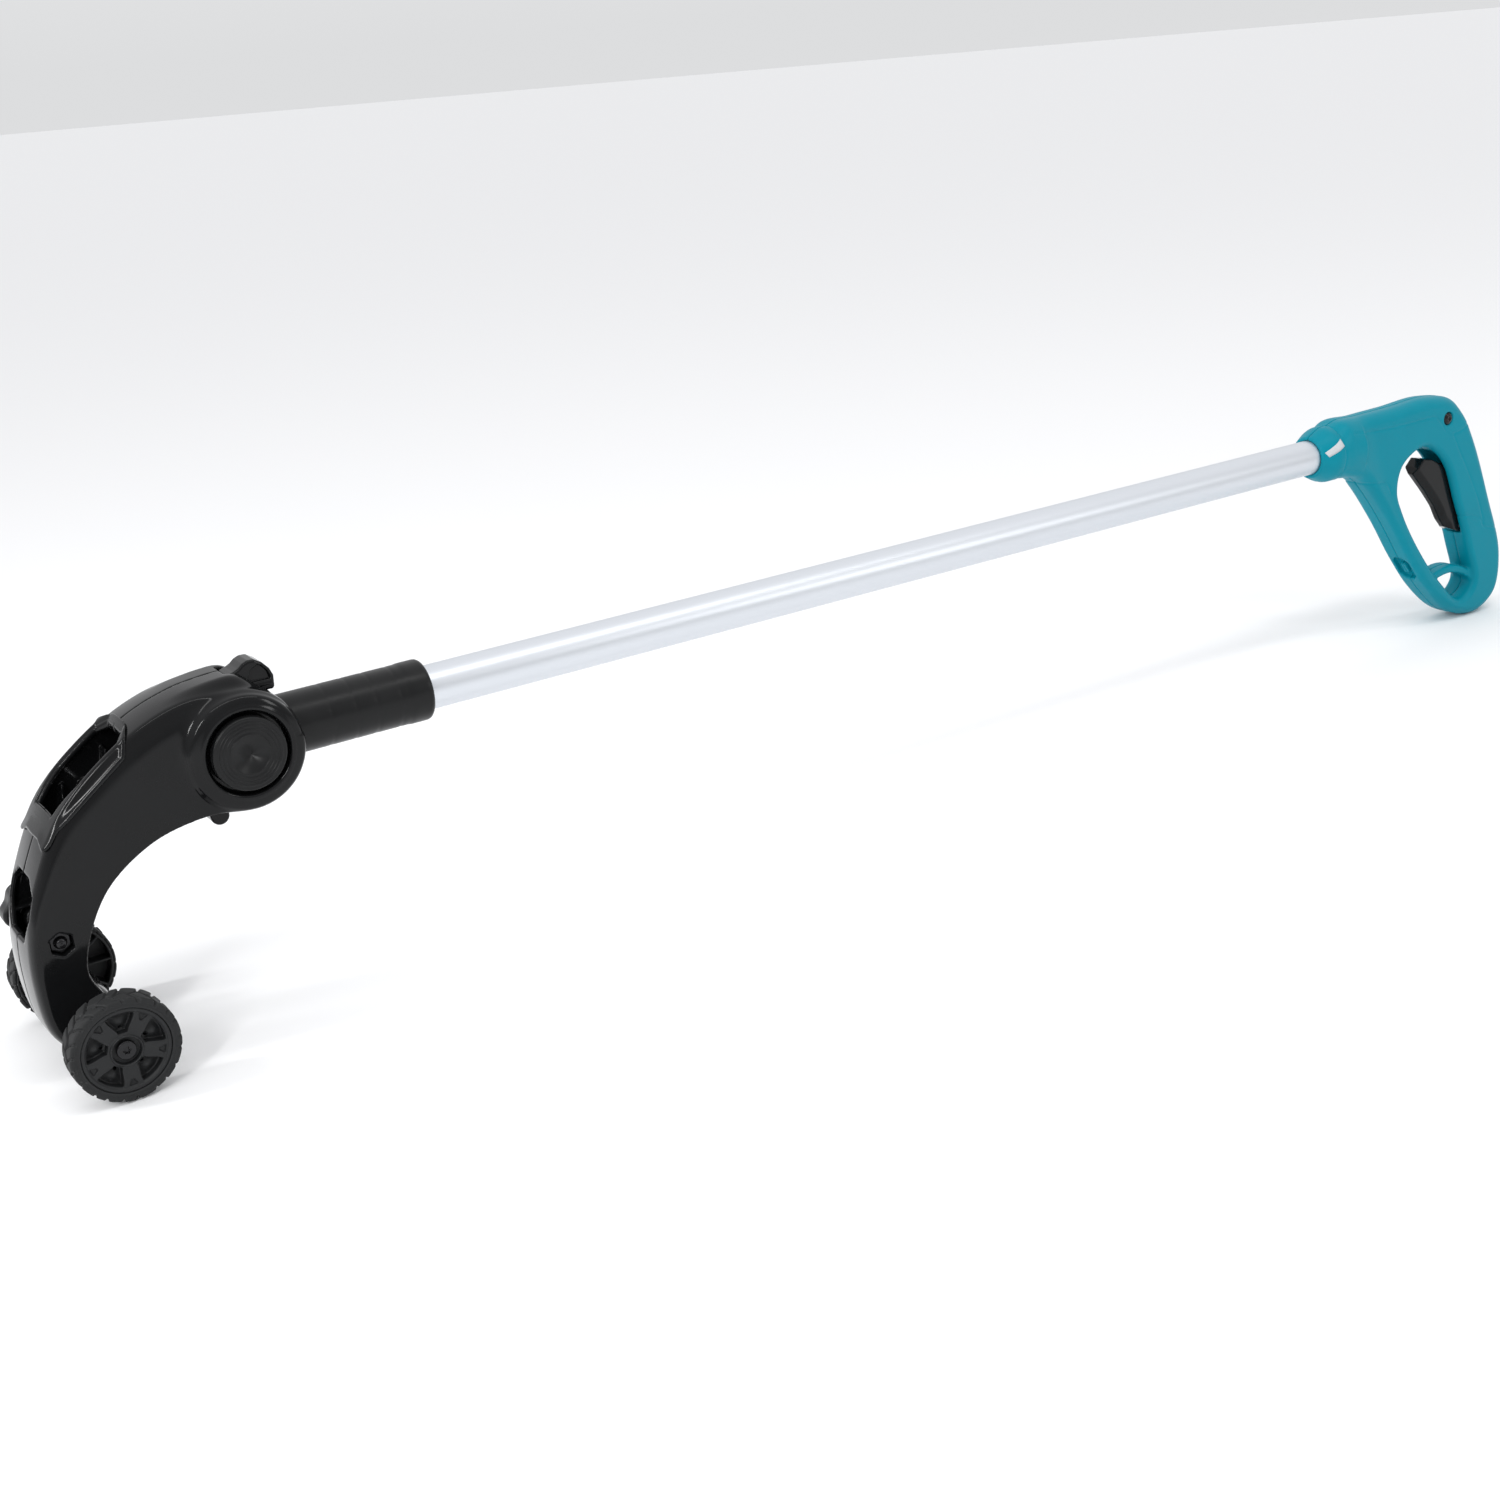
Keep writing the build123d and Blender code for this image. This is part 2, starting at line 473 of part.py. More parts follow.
def handle_shell():
    """Left half of the handle, from its side wall to the parting plane."""
    inner = HANDLE_HALF - WALL
    opening = Face(Wire([Spline(*OPENING, periodic=True)]))
    shell = slab(handle_face() - opening, -HANDLE_HALF, 0) - slab(handle_hollow(), -inner, 1)
    shell += slab(hanging_bar(), -8, 0)
    collar = along_x(COLLAR_D / 2, COLLAR_START, COLLAR_END)
    shell += collar & block(COLLAR_START - 1, COLLAR_END + 1, -COLLAR_D, 0, -COLLAR_D, COLLAR_D)
    for x, z in HANDLE_SCREWS:
        shell += along_y(4.2, -inner - SEAM, -SEAM / 2, x, z)
    shell += along_y(4.5, -inner - SEAM, -TRIGGER_HALF - GAP, TRIGGER_X, TRIGGER_Z)
    shell -= along_x(TUBE_D / 2 + FIT, COLLAR_START - 1, TUBE_END + SEAM)
    shell -= along_x(ROD_R - ROD_Z + ROD_ROOM, TUBE_END - 1, COLLAR_END + 2)
    shell -= along_y(PIN_R + FIT, -inner + 0.5, 1, TRIGGER_X, TRIGGER_Z)
    pin = Pos(TRIGGER_X, TRIGGER_Z)
    for turn in (0.0, 2.5, 5.0, 7.5):
        turned = pin * Rot(0, 0, -turn) * pin.inverse() * trigger_face()
        shell -= slab(offset(turned, amount=0.8), -TRIGGER_HALF - GAP, 1)
    return shell


def handle_pieces():
    """Handle shells with their screws, the trigger and its spring."""
    shells = {-1: handle_shell(), 1: other_side(handle_shell())}
    seat = HANDLE_HALF - 2.6
    screws = []
    for number, (x, z) in enumerate(HANDLE_SCREWS):
        side = -1 if number == 0 else 1
        shells[side] -= along_y(PIN_R + 2 * FIT, *sorted((-side, side * (HANDLE_HALF + 1))), x, z)
        shells[side] -= along_y(3.8, *sorted((side * seat, side * (HANDLE_HALF + 1))), x, z)
        shells[-side] -= along_y(PIN_R + 2 * FIT, *sorted((side, -side * (HANDLE_HALF - 3))), x, z)
        screws.append(pan_screw(x, z, side * seat, -side * (HANDLE_HALF - 4), PIN_R, 3.5, 2.4))
    trigger = slab(trigger_face(), -TRIGGER_HALF, TRIGGER_HALF)
    trigger -= block(HOOK_X - 8, HOOK_X + 12, -1.6, 1.6, HOOK_Z - 6, -30)
    trigger -= block(HOOK_X - PIN_R - GAP, HOOK_X + PIN_R + GAP, -5.0, 5.0, HOOK_Z - 3.5, -30)
    trigger -= along_y(PIN_R + FIT, -10, 10, TRIGGER_X, TRIGGER_Z)
    spring = Pos(TRIGGER_X + 2, 0, -55.0) * Rot(0, 90, 0) * coil(3.6, 0.5, 16.0, 6)
    pin_end = HANDLE_HALF - WALL - 1
    return {"handle_shell_left": shells[-1], "handle_shell_right": shells[1], "handle_screws": Compound(screws),
            "trigger": trigger, "trigger_spring": spring,
            "trigger_pin": along_y(PIN_R, -pin_end, pin_end, TRIGGER_X, TRIGGER_Z)}


# ---------------------------------------------------------------- standing pose and export


def stand(nodes):
    """Turn everything so that wheels and heel reach one level, then centre it on its foot print."""
    heel = handle_face().bounding_box().min.Y
    drop = WHEEL_Z - heel
    run = HEEL[0] - WHEEL_X
    turn = degrees(asin(WHEEL_R / hypot(run, drop)) - atan2(drop, run))
    turned = {name: Rot(0, turn, 0) * shape for name, shape in nodes.items()}
    box = Compound(list(turned.values())).bounding_box()
    shift = Pos(-box.center().X, 0, -box.min.Z)
    return shift * Rot(0, turn, 0), {name: shift * shape for name, shape in turned.items()}


def all_pieces():
    nodes = {**pole_pieces(), **handle_pieces(), **head_pieces(), **axle_pieces(), **control_pieces()}
    for name, shape in wheel_pieces().items():
        nodes[name + "_left"] = shape
        nodes[name + "_right"] = other_side(shape)
    return nodes


placement, pieces = stand(all_pieces())
for name, piece in pieces.items():
    export_step(piece, os.path.join("parts", name + ".step"))
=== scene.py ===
import json
import math
import bpy
import numpy as np
from mathutils import Matrix, Vector


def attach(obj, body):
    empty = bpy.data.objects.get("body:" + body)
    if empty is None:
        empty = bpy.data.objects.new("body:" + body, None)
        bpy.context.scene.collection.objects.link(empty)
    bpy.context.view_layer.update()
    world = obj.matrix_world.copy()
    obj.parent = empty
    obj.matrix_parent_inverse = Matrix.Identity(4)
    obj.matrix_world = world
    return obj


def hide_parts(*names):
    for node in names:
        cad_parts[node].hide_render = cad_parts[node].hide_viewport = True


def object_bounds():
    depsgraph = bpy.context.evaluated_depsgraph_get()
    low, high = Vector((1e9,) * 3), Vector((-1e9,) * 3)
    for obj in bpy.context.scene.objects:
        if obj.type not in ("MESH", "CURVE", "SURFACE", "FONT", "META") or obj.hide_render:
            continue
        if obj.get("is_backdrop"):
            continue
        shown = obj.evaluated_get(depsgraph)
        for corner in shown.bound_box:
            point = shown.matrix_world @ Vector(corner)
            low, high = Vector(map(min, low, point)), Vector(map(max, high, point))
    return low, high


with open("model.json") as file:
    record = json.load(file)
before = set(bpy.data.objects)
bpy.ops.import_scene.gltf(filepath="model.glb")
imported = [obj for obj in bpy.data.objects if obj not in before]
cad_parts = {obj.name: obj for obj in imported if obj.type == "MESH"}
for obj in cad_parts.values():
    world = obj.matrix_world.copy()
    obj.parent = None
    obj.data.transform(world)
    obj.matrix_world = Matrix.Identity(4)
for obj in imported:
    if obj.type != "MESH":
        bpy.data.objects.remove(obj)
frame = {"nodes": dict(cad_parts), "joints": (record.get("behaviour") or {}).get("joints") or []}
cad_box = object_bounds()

# The carrier stands on its two wheels and the heel of its handle. Every piece below is drawn in
# millimetres in the pole's own directions, with X along the tube, Y to the far side and zero at the
# pivot. The pivot and the tube's direction come from the joints.
joint = {one["name"]: one for one in frame["joints"]}
PIVOT = Vector(joint["head_tilt"]["pos_m"])
TUBE_WAY = Vector(joint["rod_pull"]["axis"])
ACROSS = Vector((0.0, 1.0, 0.0))
STANCE = np.array([TUBE_WAY, ACROSS, TUBE_WAY.cross(ACROSS)])
MILLIMETRE = 0.001


def stood(points):
    """Points drawn on the pole, as they stand on the floor in metres."""
    return np.asarray(points, float) @ STANCE * MILLIMETRE + np.array(PIVOT)


# The view is from the near side, a little in front of the pivot and above it.
CAMERA_FROM_PIVOT = Vector((-0.2713, -0.9656, 0.3142))
CAMERA_RIGHT = Vector((0.8352, -0.5441, -0.0801)).normalized()
CAMERA_BACK = Vector((-0.4913, -0.8034, 0.3366))
CAMERA_BACK = (CAMERA_BACK - CAMERA_RIGHT * CAMERA_BACK.dot(CAMERA_RIGHT)).normalized()
turned_to = Matrix((CAMERA_RIGHT, CAMERA_BACK.cross(CAMERA_RIGHT), CAMERA_BACK)).transposed().to_4x4()
camera = bpy.data.objects.new("camera", bpy.data.cameras.new("camera"))
camera.data.sensor_width = 36.0
camera.data.lens = 46.309
camera.data.clip_start = 0.01
camera.matrix_world = Matrix.Translation(PIVOT + CAMERA_FROM_PIVOT) @ turned_to
bpy.context.collection.objects.link(camera)
bpy.context.scene.camera = camera
bpy.context.scene.view_settings.view_transform = "Standard"

# A studio with a pale sheet of board on the floor, two strip lamps at the head's end, a long box above
# the tube and a soft one in front of the handle. The walls are white up high and darker near the viewer.
world = bpy.data.worlds.new("studio_walls")
bpy.context.scene.world = world
world.use_nodes = True
walls = world.node_tree
walls.nodes.clear()
way = walls.nodes.new("ShaderNodeTexCoord")
split = walls.nodes.new("ShaderNodeSeparateXYZ")
height = walls.nodes.new("ShaderNodeMapRange")
height.inputs["From Min"].default_value = 0.02
height.inputs["From Max"].default_value = 0.5
depth = walls.nodes.new("ShaderNodeMapRange")
depth.inputs["From Min"].default_value = -0.9
depth.inputs["From Max"].default_value = 0.1
depth.inputs["To Min"].default_value = 0.6
depth.inputs["To Max"].default_value = 0.95
lit = walls.nodes.new("ShaderNodeMix")
lit.data_type = "RGBA"
lit.inputs["A"].default_value = (0.76, 0.766, 0.775, 1.0)
lit.inputs["B"].default_value = (1.1, 1.1, 1.115, 1.0)
light = walls.nodes.new("ShaderNodeBackground")
out = walls.nodes.new("ShaderNodeOutputWorld")
walls.links.new(way.outputs["Generated"], split.inputs["Vector"])
walls.links.new(split.outputs["Z"], height.inputs["Value"])
walls.links.new(split.outputs["Y"], depth.inputs["Value"])
walls.links.new(height.outputs["Result"], lit.inputs["Factor"])
walls.links.new(lit.outputs["Result"], light.inputs["Color"])
walls.links.new(depth.outputs["Result"], light.inputs["Strength"])
walls.links.new(light.outputs["Background"], out.inputs["Surface"])

FLOOR_RADIUS = 80.0
FLOOR_DROP = 0.0004
rim = [(FLOOR_RADIUS * math.cos(turn), FLOOR_RADIUS * math.sin(turn), -FLOOR_DROP)
       for turn in np.linspace(0.0, math.tau, 96, endpoint=False)]
board = bpy.data.meshes.new("floor_board")
board.from_pydata(rim, [], [list(range(len(rim)))])
floor = bpy.data.objects.new("floor_board", board)
bpy.context.collection.objects.link(floor)
floor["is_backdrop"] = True
paper = bpy.data.materials.new("pale_board")
paper.use_nodes = True
paper.node_tree.nodes["Principled BSDF"].inputs["Base Color"].default_value = (0.9, 0.905, 0.91, 1.0)
paper.node_tree.nodes["Principled BSDF"].inputs["Roughness"].default_value = 0.95
paper.node_tree.nodes["Principled BSDF"].inputs["Specular IOR Level"].default_value = 0.1
board.materials.append(paper)

for name, place, aim, size, watts in (
        ("strip_left", (-1.37, -0.96, 0.9), (-0.5, 0.0, 0.1), (0.1, 0.6), 7.0),
        ("strip_far_left", (-1.7, 0.3, 0.9), (-0.5, 0.0, 0.1), (0.12, 0.7), 7.0),
        ("box_over_tube", (0.0, -0.9, 2.2), (0.1, 0.0, 0.15), (2.6, 0.25), 12.0),
        ("box_front", (1.4, -2.0, 1.1), (0.4, 0.0, 0.1), (0.4, 0.8), 6.0)):
    lamp = bpy.data.lights.new(name, "AREA")
    lamp.shape = "RECTANGLE"
    lamp.size, lamp.size_y = size
    lamp.energy = watts
    box = bpy.data.objects.new(name, lamp)
    box.location = place
    box.rotation_euler = (Vector(aim) - Vector(place)).to_track_quat("-Z", "Y").to_euler()
    bpy.context.collection.objects.link(box)


# A long thin-walled aluminium tube, drawn and satin anodised, cut square at both ends. It is pushed
# into the socket sleeve at the head and held by the collar of the handle at the other end.
def finish(name, colour, tint, gloss, grain, depth, metal=0.0, specular=0.5, stretch=(1, 1, 1), edge_highlight=0.0):
    """A finish with a fine grain, a slow change of gloss and colour, and a painted highlight that lightens
    its sharp edges.
    """
    made = bpy.data.materials.new(name)
    made.use_nodes = True
    tree = made.node_tree
    surface = tree.nodes["Principled BSDF"]
    surface.inputs["Metallic"].default_value = metal
    surface.inputs["Specular IOR Level"].default_value = specular
    place = tree.nodes.new("ShaderNodeTexCoord")
    drawn_out = tree.nodes.new("ShaderNodeMapping")
    drawn_out.inputs["Scale"].default_value = stretch
    tree.links.new(place.outputs["Object"], drawn_out.inputs["Vector"])
    fine = tree.nodes.new("ShaderNodeTexNoise")
    fine.inputs["Scale"].default_value = grain
    fine.inputs["Detail"].default_value = 3.0
    slow = tree.nodes.new("ShaderNodeTexNoise")
    slow.inputs["Scale"].default_value = 45.0
    slow.inputs["Detail"].default_value = 4.0
    for noise in (fine, slow):
        tree.links.new(drawn_out.outputs["Vector"], noise.inputs["Vector"])
    relief = tree.nodes.new("ShaderNodeBump")
    relief.inputs["Strength"].default_value = 1.0
    relief.inputs["Distance"].default_value = depth
    tree.links.new(fine.outputs["Fac"], relief.inputs["Height"])
    tree.links.new(relief.outputs["Normal"], surface.inputs["Normal"])
    shine = tree.nodes.new("ShaderNodeMapRange")
    shine.inputs["From Min"].default_value = 0.3
    shine.inputs["From Max"].default_value = 0.7
    shine.inputs["To Min"].default_value = gloss[0]
    shine.inputs["To Max"].default_value = gloss[1]
    tree.links.new(slow.outputs["Fac"], shine.inputs["Value"])
    tree.links.new(shine.outputs["Result"], surface.inputs["Roughness"])
    mixed = tree.nodes.new("ShaderNodeMix")
    mixed.data_type = "RGBA"
    mixed.inputs["A"].default_value = (*colour, 1.0)
    mixed.inputs["B"].default_value = (*tint, 1.0)
    tree.links.new(slow.outputs["Fac"], mixed.inputs["Factor"])
    tree.links.new(mixed.outputs["Result"], surface.inputs["Base Color"])
    # Painted highlight: the base colour is lightened on sharp convex edges, found from the surface's
    # pointiness.
    if edge_highlight:
        shape = tree.nodes.new("ShaderNodeNewGeometry")
        edge = tree.nodes.new("ShaderNodeMapRange")
        edge.inputs["From Min"].default_value = 0.52
        edge.inputs["From Max"].default_value = 0.62
        edge.inputs["To Max"].default_value = edge_highlight
        painted_edge_highlight = tree.nodes.new("ShaderNodeMix")
        painted_edge_highlight.data_type = "RGBA"
        painted_edge_highlight.inputs["B"].default_value = (*[min(1.0, 2.2 * part + 0.02) for part in tint], 1.0)
        tree.links.new(shape.outputs["Pointiness"], edge.inputs["Value"])
        tree.links.new(edge.outputs["Result"], painted_edge_highlight.inputs["Factor"])
        tree.links.new(mixed.outputs["Result"], painted_edge_highlight.inputs["A"])
        tree.links.new(painted_edge_highlight.outputs["Result"], surface.inputs["Base Color"])
    return made


def ringed(name, body, made, stations, steps, centre=(0.0, 0.0), way="x"):
    """A closed ring turned on a lathe: stations are (distance along the axis, radius) round its section."""
    turn = np.linspace(0.0, math.tau, steps, endpoint=False)
    along, radius = np.array(stations, float).T
    first = np.broadcast_to(along[:, None], (len(along), steps))
    if way == "x":
        rows = [first, radius[:, None] * np.cos(turn) + centre[0], radius[:, None] * np.sin(turn) + centre[1]]
    else:
        rows = [radius[:, None] * np.sin(turn) + centre[0], first, radius[:, None] * np.cos(turn) + centre[1]]
    points = np.stack(rows, axis=-1).reshape(-1, 3)
    count = len(along)
    faces = [(a * steps + b, a * steps + (b + 1) % steps, (a + 1) % count * steps + (b + 1) % steps,
              (a + 1) % count * steps + b) for a in range(count) for b in range(steps)]
    mesh = bpy.data.meshes.new(name)
    mesh.from_pydata(stood(points), [], faces)
    return shown(name, mesh, body, made)


def shown(name, mesh, body, made):
    """A finished mesh as a piece of the object."""
    mesh.validate()
    mesh.polygons.foreach_set("use_smooth", [True] * len(mesh.polygons))
    mesh.materials.append(made)
    piece = bpy.data.objects.new(name, mesh)
    bpy.context.collection.objects.link(piece)
    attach(piece, body)
    return piece


anodised_tube = finish("anodised_tube", (0.66, 0.69, 0.73), (0.7, 0.725, 0.76), (0.38, 0.45),
                       2600.0, 0.000004, metal=1.0, stretch=(0.02, 1, 1))
TUBE_R = 12.5
TUBE_BORE = 11.0
TUBE_START = 34.0
TUBE_END = 872.0
EASE = 0.3
section = [(TUBE_START, TUBE_BORE + EASE), (TUBE_START, TUBE_R - EASE), (TUBE_START + EASE, TUBE_R)]
section += [(x, TUBE_R) for x in np.linspace(120.0, 820.0, 8)]
section += [(TUBE_END - EASE, TUBE_R), (TUBE_END, TUBE_R - EASE), (TUBE_END, TUBE_BORE + EASE),
            (TUBE_END - EASE, TUBE_BORE), (TUBE_START + EASE, TUBE_BORE)]
tube = ringed("anodised_tube", "pole", anodised_tube, section, 160)
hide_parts("main_tube")


# The socket that the tube is pushed into, moulded in satin black nylon with a round knuckle at the pivot.
# Its open end is eased over, with a slightly raised band and faint rings where the mould was turned.
def soft_max(a, b, blend):
    """Inside both forms, with an edge eased over by blend."""
    return np.maximum(a, b) + np.maximum(blend - np.abs(a - b), 0.0) ** 2 / (4.0 * blend)


def soft_min(a, b, blend):
    """Either form, with a fillet of blend where they meet."""
    return -soft_max(-a, -b, blend)


def slab(side, low, high, across, ease):
    """A flat form between two values across, with its edges rounded by ease."""
    thick = np.abs(across - (low + high) / 2.0) - (high - low) / 2.0 + ease
    side = side + ease
    beyond = np.hypot(np.maximum(side, 0.0), np.maximum(thick, 0.0))
    return np.minimum(np.maximum(side, thick), 0.0) + beyond - ease


def moulded(name, body, made, low, high, pitch, form, smooth=0):
    """The skin of a moulded piece. form gives the distance outside its surface, and less than zero inside.
    The space from low to high is cut into cells, and each cell that the surface crosses gets one point."""
    axes = [np.arange(a - 1.5 * pitch, b + 2.5 * pitch, pitch) for a, b in zip(low, high)]
    depth = form(axes[0][:, None, None], axes[1][None, :, None], axes[2][None, None, :])
    depth = np.broadcast_to(depth, [len(axis) for axis in axes]).astype(np.float32)
    solid = depth < 0.0
    corners = [(a, b, c) for a in (0, 1) for b in (0, 1) for c in (0, 1)]
    size = np.array(solid.shape) - 1
    filled = sum(solid[a:a + size[0], b:b + size[1], c:c + size[2]].astype(np.int8) for a, b, c in corners)
    crossed = (filled > 0) & (filled < 8)
    cell = np.argwhere(crossed)
    number = np.full(crossed.shape, -1)
    number[crossed] = np.arange(len(cell))
    total, hits = np.zeros((len(cell), 3)), np.zeros(len(cell))
    for way in range(3):
        step = np.eye(3, dtype=int)[way]
        for corner in (one for one in corners if one[way] == 0):
            here, there = cell + corner, cell + corner + step
            near, far = depth[tuple(here.T)], depth[tuple(there.T)]
            cut = (near < 0.0) != (far < 0.0)
            share = near[cut] / (near[cut] - far[cut])
            total[cut] += np.array(corner) + share[:, None] * step
            hits[cut] += 1
    points = np.array([axis[0] for axis in axes]) + (cell + total / hits[:, None]) * pitch
    faces = []
    for way in range(3):
        second, third = (way + 1) % 3, (way + 2) % 3
        ends = [slice(1, -1)] * 3
        ends[way] = slice(0, -1)
        beyond = list(ends)
        beyond[way] = slice(1, None)
        inner, outer = solid[tuple(ends)], solid[tuple(beyond)]
        for turned, found in ((False, inner & ~outer), (True, ~inner & outer)):
            start = np.argwhere(found)
            start[:, second] += 1
            start[:, third] += 1
            ring = []
            for a, b in ((-1, -1), (0, -1), (0, 0), (-1, 0)):
                place = start.copy()
                place[:, second] += a
                place[:, third] += b
                ring.append(number[tuple(place.T)])
            faces.append(np.stack(ring[::-1] if turned else ring, axis=1))
    faces = np.concatenate(faces)
    for _ in range(smooth):
        centre, shared = np.zeros_like(points), np.zeros(len(points))
        middle = points[faces].mean(axis=1)
        for side in range(4):
            np.add.at(centre, faces[:, side], middle)
            np.add.at(shared, faces[:, side], 1)
        points = 0.5 * points + 0.5 * centre / shared[:, None]
    mesh = bpy.data.meshes.new(name)
    mesh.vertices.add(len(points))
    mesh.vertices.foreach_set("co", stood(points).astype(np.float32).ravel())
    mesh.loops.add(4 * len(faces))
    mesh.loops.foreach_set("vertex_index", faces.ravel().astype(np.int32))
    mesh.polygons.add(len(faces))
    mesh.polygons.foreach_set("loop_start", np.arange(0, 4 * len(faces), 4, dtype=np.int32))
    mesh.update(calc_edges=True)
    return shown(name, mesh, body, made)


satin_black = finish("satin_black", (0.005, 0.0053, 0.0056), (0.008, 0.0083, 0.0087), (0.3, 0.38),
                     1600.0, 0.00002, specular=0.22)
SLEEVE_R = 17.3
SLEEVE_END = 110.8
BAND_START = 98.0
KNUCKLE_R = 18.0
KNUCKLE_HALF = 17.6
AXLE_R = 4.0
GEAR_WELL_R = 13.4
GEAR_WELL_INNER = 4.6
RINGS = (52.0, 66.0, 78.0, 92.0)
BAND_PROUD = 0.35
ROD_Z = -6.5
ROD_HOLE_R = 2.7
FIT = 0.05
END_GAP = 0.1


def sleeve(x, y, z):
    round_tube = np.hypot(y, z)
    barrel = slab(round_tube - SLEEVE_R + BAND_PROUD, -2.0, SLEEVE_END, x, 2.6)
    barrel = barrel - BAND_PROUD / (1.0 + np.exp(-(x - BAND_START) / 0.5))
    for ring in RINGS:
        barrel = barrel + 0.16 * np.exp(-((x - ring) / 0.9) ** 2)
    round_pivot = np.hypot(x, z)
    knuckle = slab(round_pivot - KNUCKLE_R, -KNUCKLE_HALF, KNUCKLE_HALF, y, 1.2)
    whole = soft_min(barrel, knuckle, 4.0)
    whole = soft_max(whole, np.abs(y) - KNUCKLE_HALF, 1.0)
    whole = soft_max(whole, -np.maximum(round_tube - TUBE_R - FIT, TUBE_START - END_GAP - x), 0.8)
    whole = soft_max(whole, -np.maximum(round_pivot - GEAR_WELL_R, GEAR_WELL_INNER - np.abs(y)), 0.8)
    whole = soft_max(whole, -np.maximum(np.hypot(y, z - ROD_Z) - ROD_HOLE_R, x - TUBE_START - 1.0), 0.8)
    return soft_max(whole, AXLE_R + FIT - round_pivot, 0.6)


socket = moulded("socket_sleeve_moulding", "pole", satin_black,
                 (-18.5, -18.0, -18.5), (111.5, 18.0, 18.5), 0.7, sleeve)
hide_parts("socket_sleeve")


# The arched head is two gloss black mouldings, screwed together on the middle plane. Each has a bevel
# between its side and the crowned spine, a round cheek at the pivot, posts and ribs in its hollow.
def smooth_line(points, closed=False, steps=9):
    """A smooth curve through drawn points, cut into short straight runs."""
    points = np.array(points, float)
    if closed:
        ring = np.concatenate([points[-1:], points, points[:2]])
    else:
        ring = np.concatenate([2 * points[:1] - points[1:2], points, 2 * points[-1:] - points[-2:-1]])
    curve = []
    for a, b, c, d in zip(ring, ring[1:], ring[2:], ring[3:]):
        runs = ((a, b), (b, c), (c, d))
        knots = np.cumsum([0.0] + [max(np.linalg.norm(q - p), 1e-6) ** 0.5 for p, q in runs])
        for t in np.linspace(knots[1], knots[2], steps, endpoint=False):
            first = [(p * (knots[i + 1] - t) + q * (t - knots[i])) / (knots[i + 1] - knots[i])
                     for i, (p, q) in enumerate(runs)]
            second = [(first[i] * (knots[i + 2] - t) + first[i + 1] * (t - knots[i]))
                      / (knots[i + 2] - knots[i]) for i in (0, 1)]
            curve.append((second[0] * (knots[2] - t) + second[1] * (t - knots[1])) / (knots[2] - knots[1]))
    if not closed:
        curve.append(points[-1])
    return np.array(curve)


def from_line(line, x, z):
    """Distance from an open line of straight runs."""
    nearest = np.full(np.broadcast(x, z).shape, 1e9)
    for (ax, az), (bx, bz) in zip(line, line[1:]):
        dx, dz = bx - ax, bz - az
        share = np.clip(((x - ax) * dx + (z - az) * dz) / max(dx * dx + dz * dz, 1e-12), 0.0, 1.0)
        nearest = np.minimum(nearest, (x - ax - share * dx) ** 2 + (z - az - share * dz) ** 2)
    return np.sqrt(nearest)


def from_outline(line, x, z):
    """Distance outside a closed outline, and less than zero inside it."""
    line = np.concatenate([line, line[:1]])
    inside = np.zeros(np.broadcast(x, z).shape, bool)
    for (ax, az), (bx, bz) in zip(line, line[1:]):
        if az != bz:
            inside ^= ((az > z) != (bz > z)) & (x < (bx - ax) * (z - az) / (bz - az) + ax)
    return np.where(inside, -1.0, 1.0) * from_line(line, x, z)


def step_up(value, low, high):
    """Zero below low, one above high, and an even rise between."""
    share = np.clip((value - low) / (high - low), 0.0, 1.0)
    return share * share * (3.0 - 2.0 * share)


gloss_black = finish("gloss_black", (0.004, 0.0042, 0.0045), (0.007, 0.0073, 0.0078), (0.09, 0.15),
                     900.0, 0.000003, specular=0.2)
HEAD_HALF = 26.0
WALL = 2.6
BOSS_R = 30.2
BOSS_FACE = 31.0
BOSS_SLOPE_R = 25.6
BOSS_BEAD_R = 23.9
BOSS_BEAD = 1.5
WELL_R = 22.3
WELL_DEPTH = 7.0
SPINE = [(-24.0, 31.6), (-46.0, 25.6), (-70.0, 12.5), (-96.0, -9.5), (-113.2, -39.0), (-122.3, -64.0),
         (-125.6, -95.0), (-121.6, -124.0)]
FOOT = [(-108.0, -137.0), (-88.0, -130.0)]
BELLY = [(-93.0, -110.0), (-99.5, -92.0), (-84.0, -55.5), (-57.0, -35.8), (-30.0, -29.6)]
HEAD_SCREWS = [(-36.0, 13.0), (-72.0, -12.0), (-106.0, -52.0), (-112.0, -98.0)]
CLAMP = (-109.2, -74.0)
AXLE = (-97.5, -121.5)
ROCKER = (-20.0, -24.0)
LEVER = (6.0, 33.0)
HOUSING_R = 13.0
POST_R = 4.2
CLAMP_POST_R = 8.0
RIB_HALF = 0.9
PAD_HALF = 17.0
LUG_HALF = 6.5
SWING_HALF = 18.5
SWING_ROOM = 0.9
SCREW_HOLE_R = 3.8
NUT_FLATS = 10.0
boss_arc = [(BOSS_R * math.cos(turn), BOSS_R * math.sin(turn))
            for turn in np.radians(np.arange(-94.0, 93.1, 5.0))]
spine_line = smooth_line(boss_arc[-2:] + SPINE + FOOT[:1])
head_line = smooth_line(boss_arc[-2:] + SPINE + FOOT + BELLY + boss_arc[:2])
head_line = np.concatenate([head_line[9:-9], boss_arc])
belly_line = smooth_line(FOOT[1:] + BELLY + boss_arc[:2])
UP, DOWN = math.radians(10.0), math.radians(50.0)
SWING = [(-18.1 * math.sin(UP), 18.1 * math.cos(UP)), (65.8, 30.0), (91.0, 0.0), (31.1, -65.3),
         (-18.1 * math.sin(DOWN), -18.1 * math.cos(DOWN))]
BIG_WINDOW = [(-57.0, -12.0), (-62.0, -18.5), (-84.0, -18.5), (-97.5, -14.0), (-97.5, 14.0), (-84.0, 18.5),
              (-62.0, 18.5), (-57.0, 12.0)]
SMALL_WINDOW = [(-10.0, -41.0), (-20.0, -48.0), (-20.0, -59.0), (-13.0, -72.0), (13.0, -72.0), (20.0, -59.0),
                (20.0, -48.0), (10.0, -41.0)]
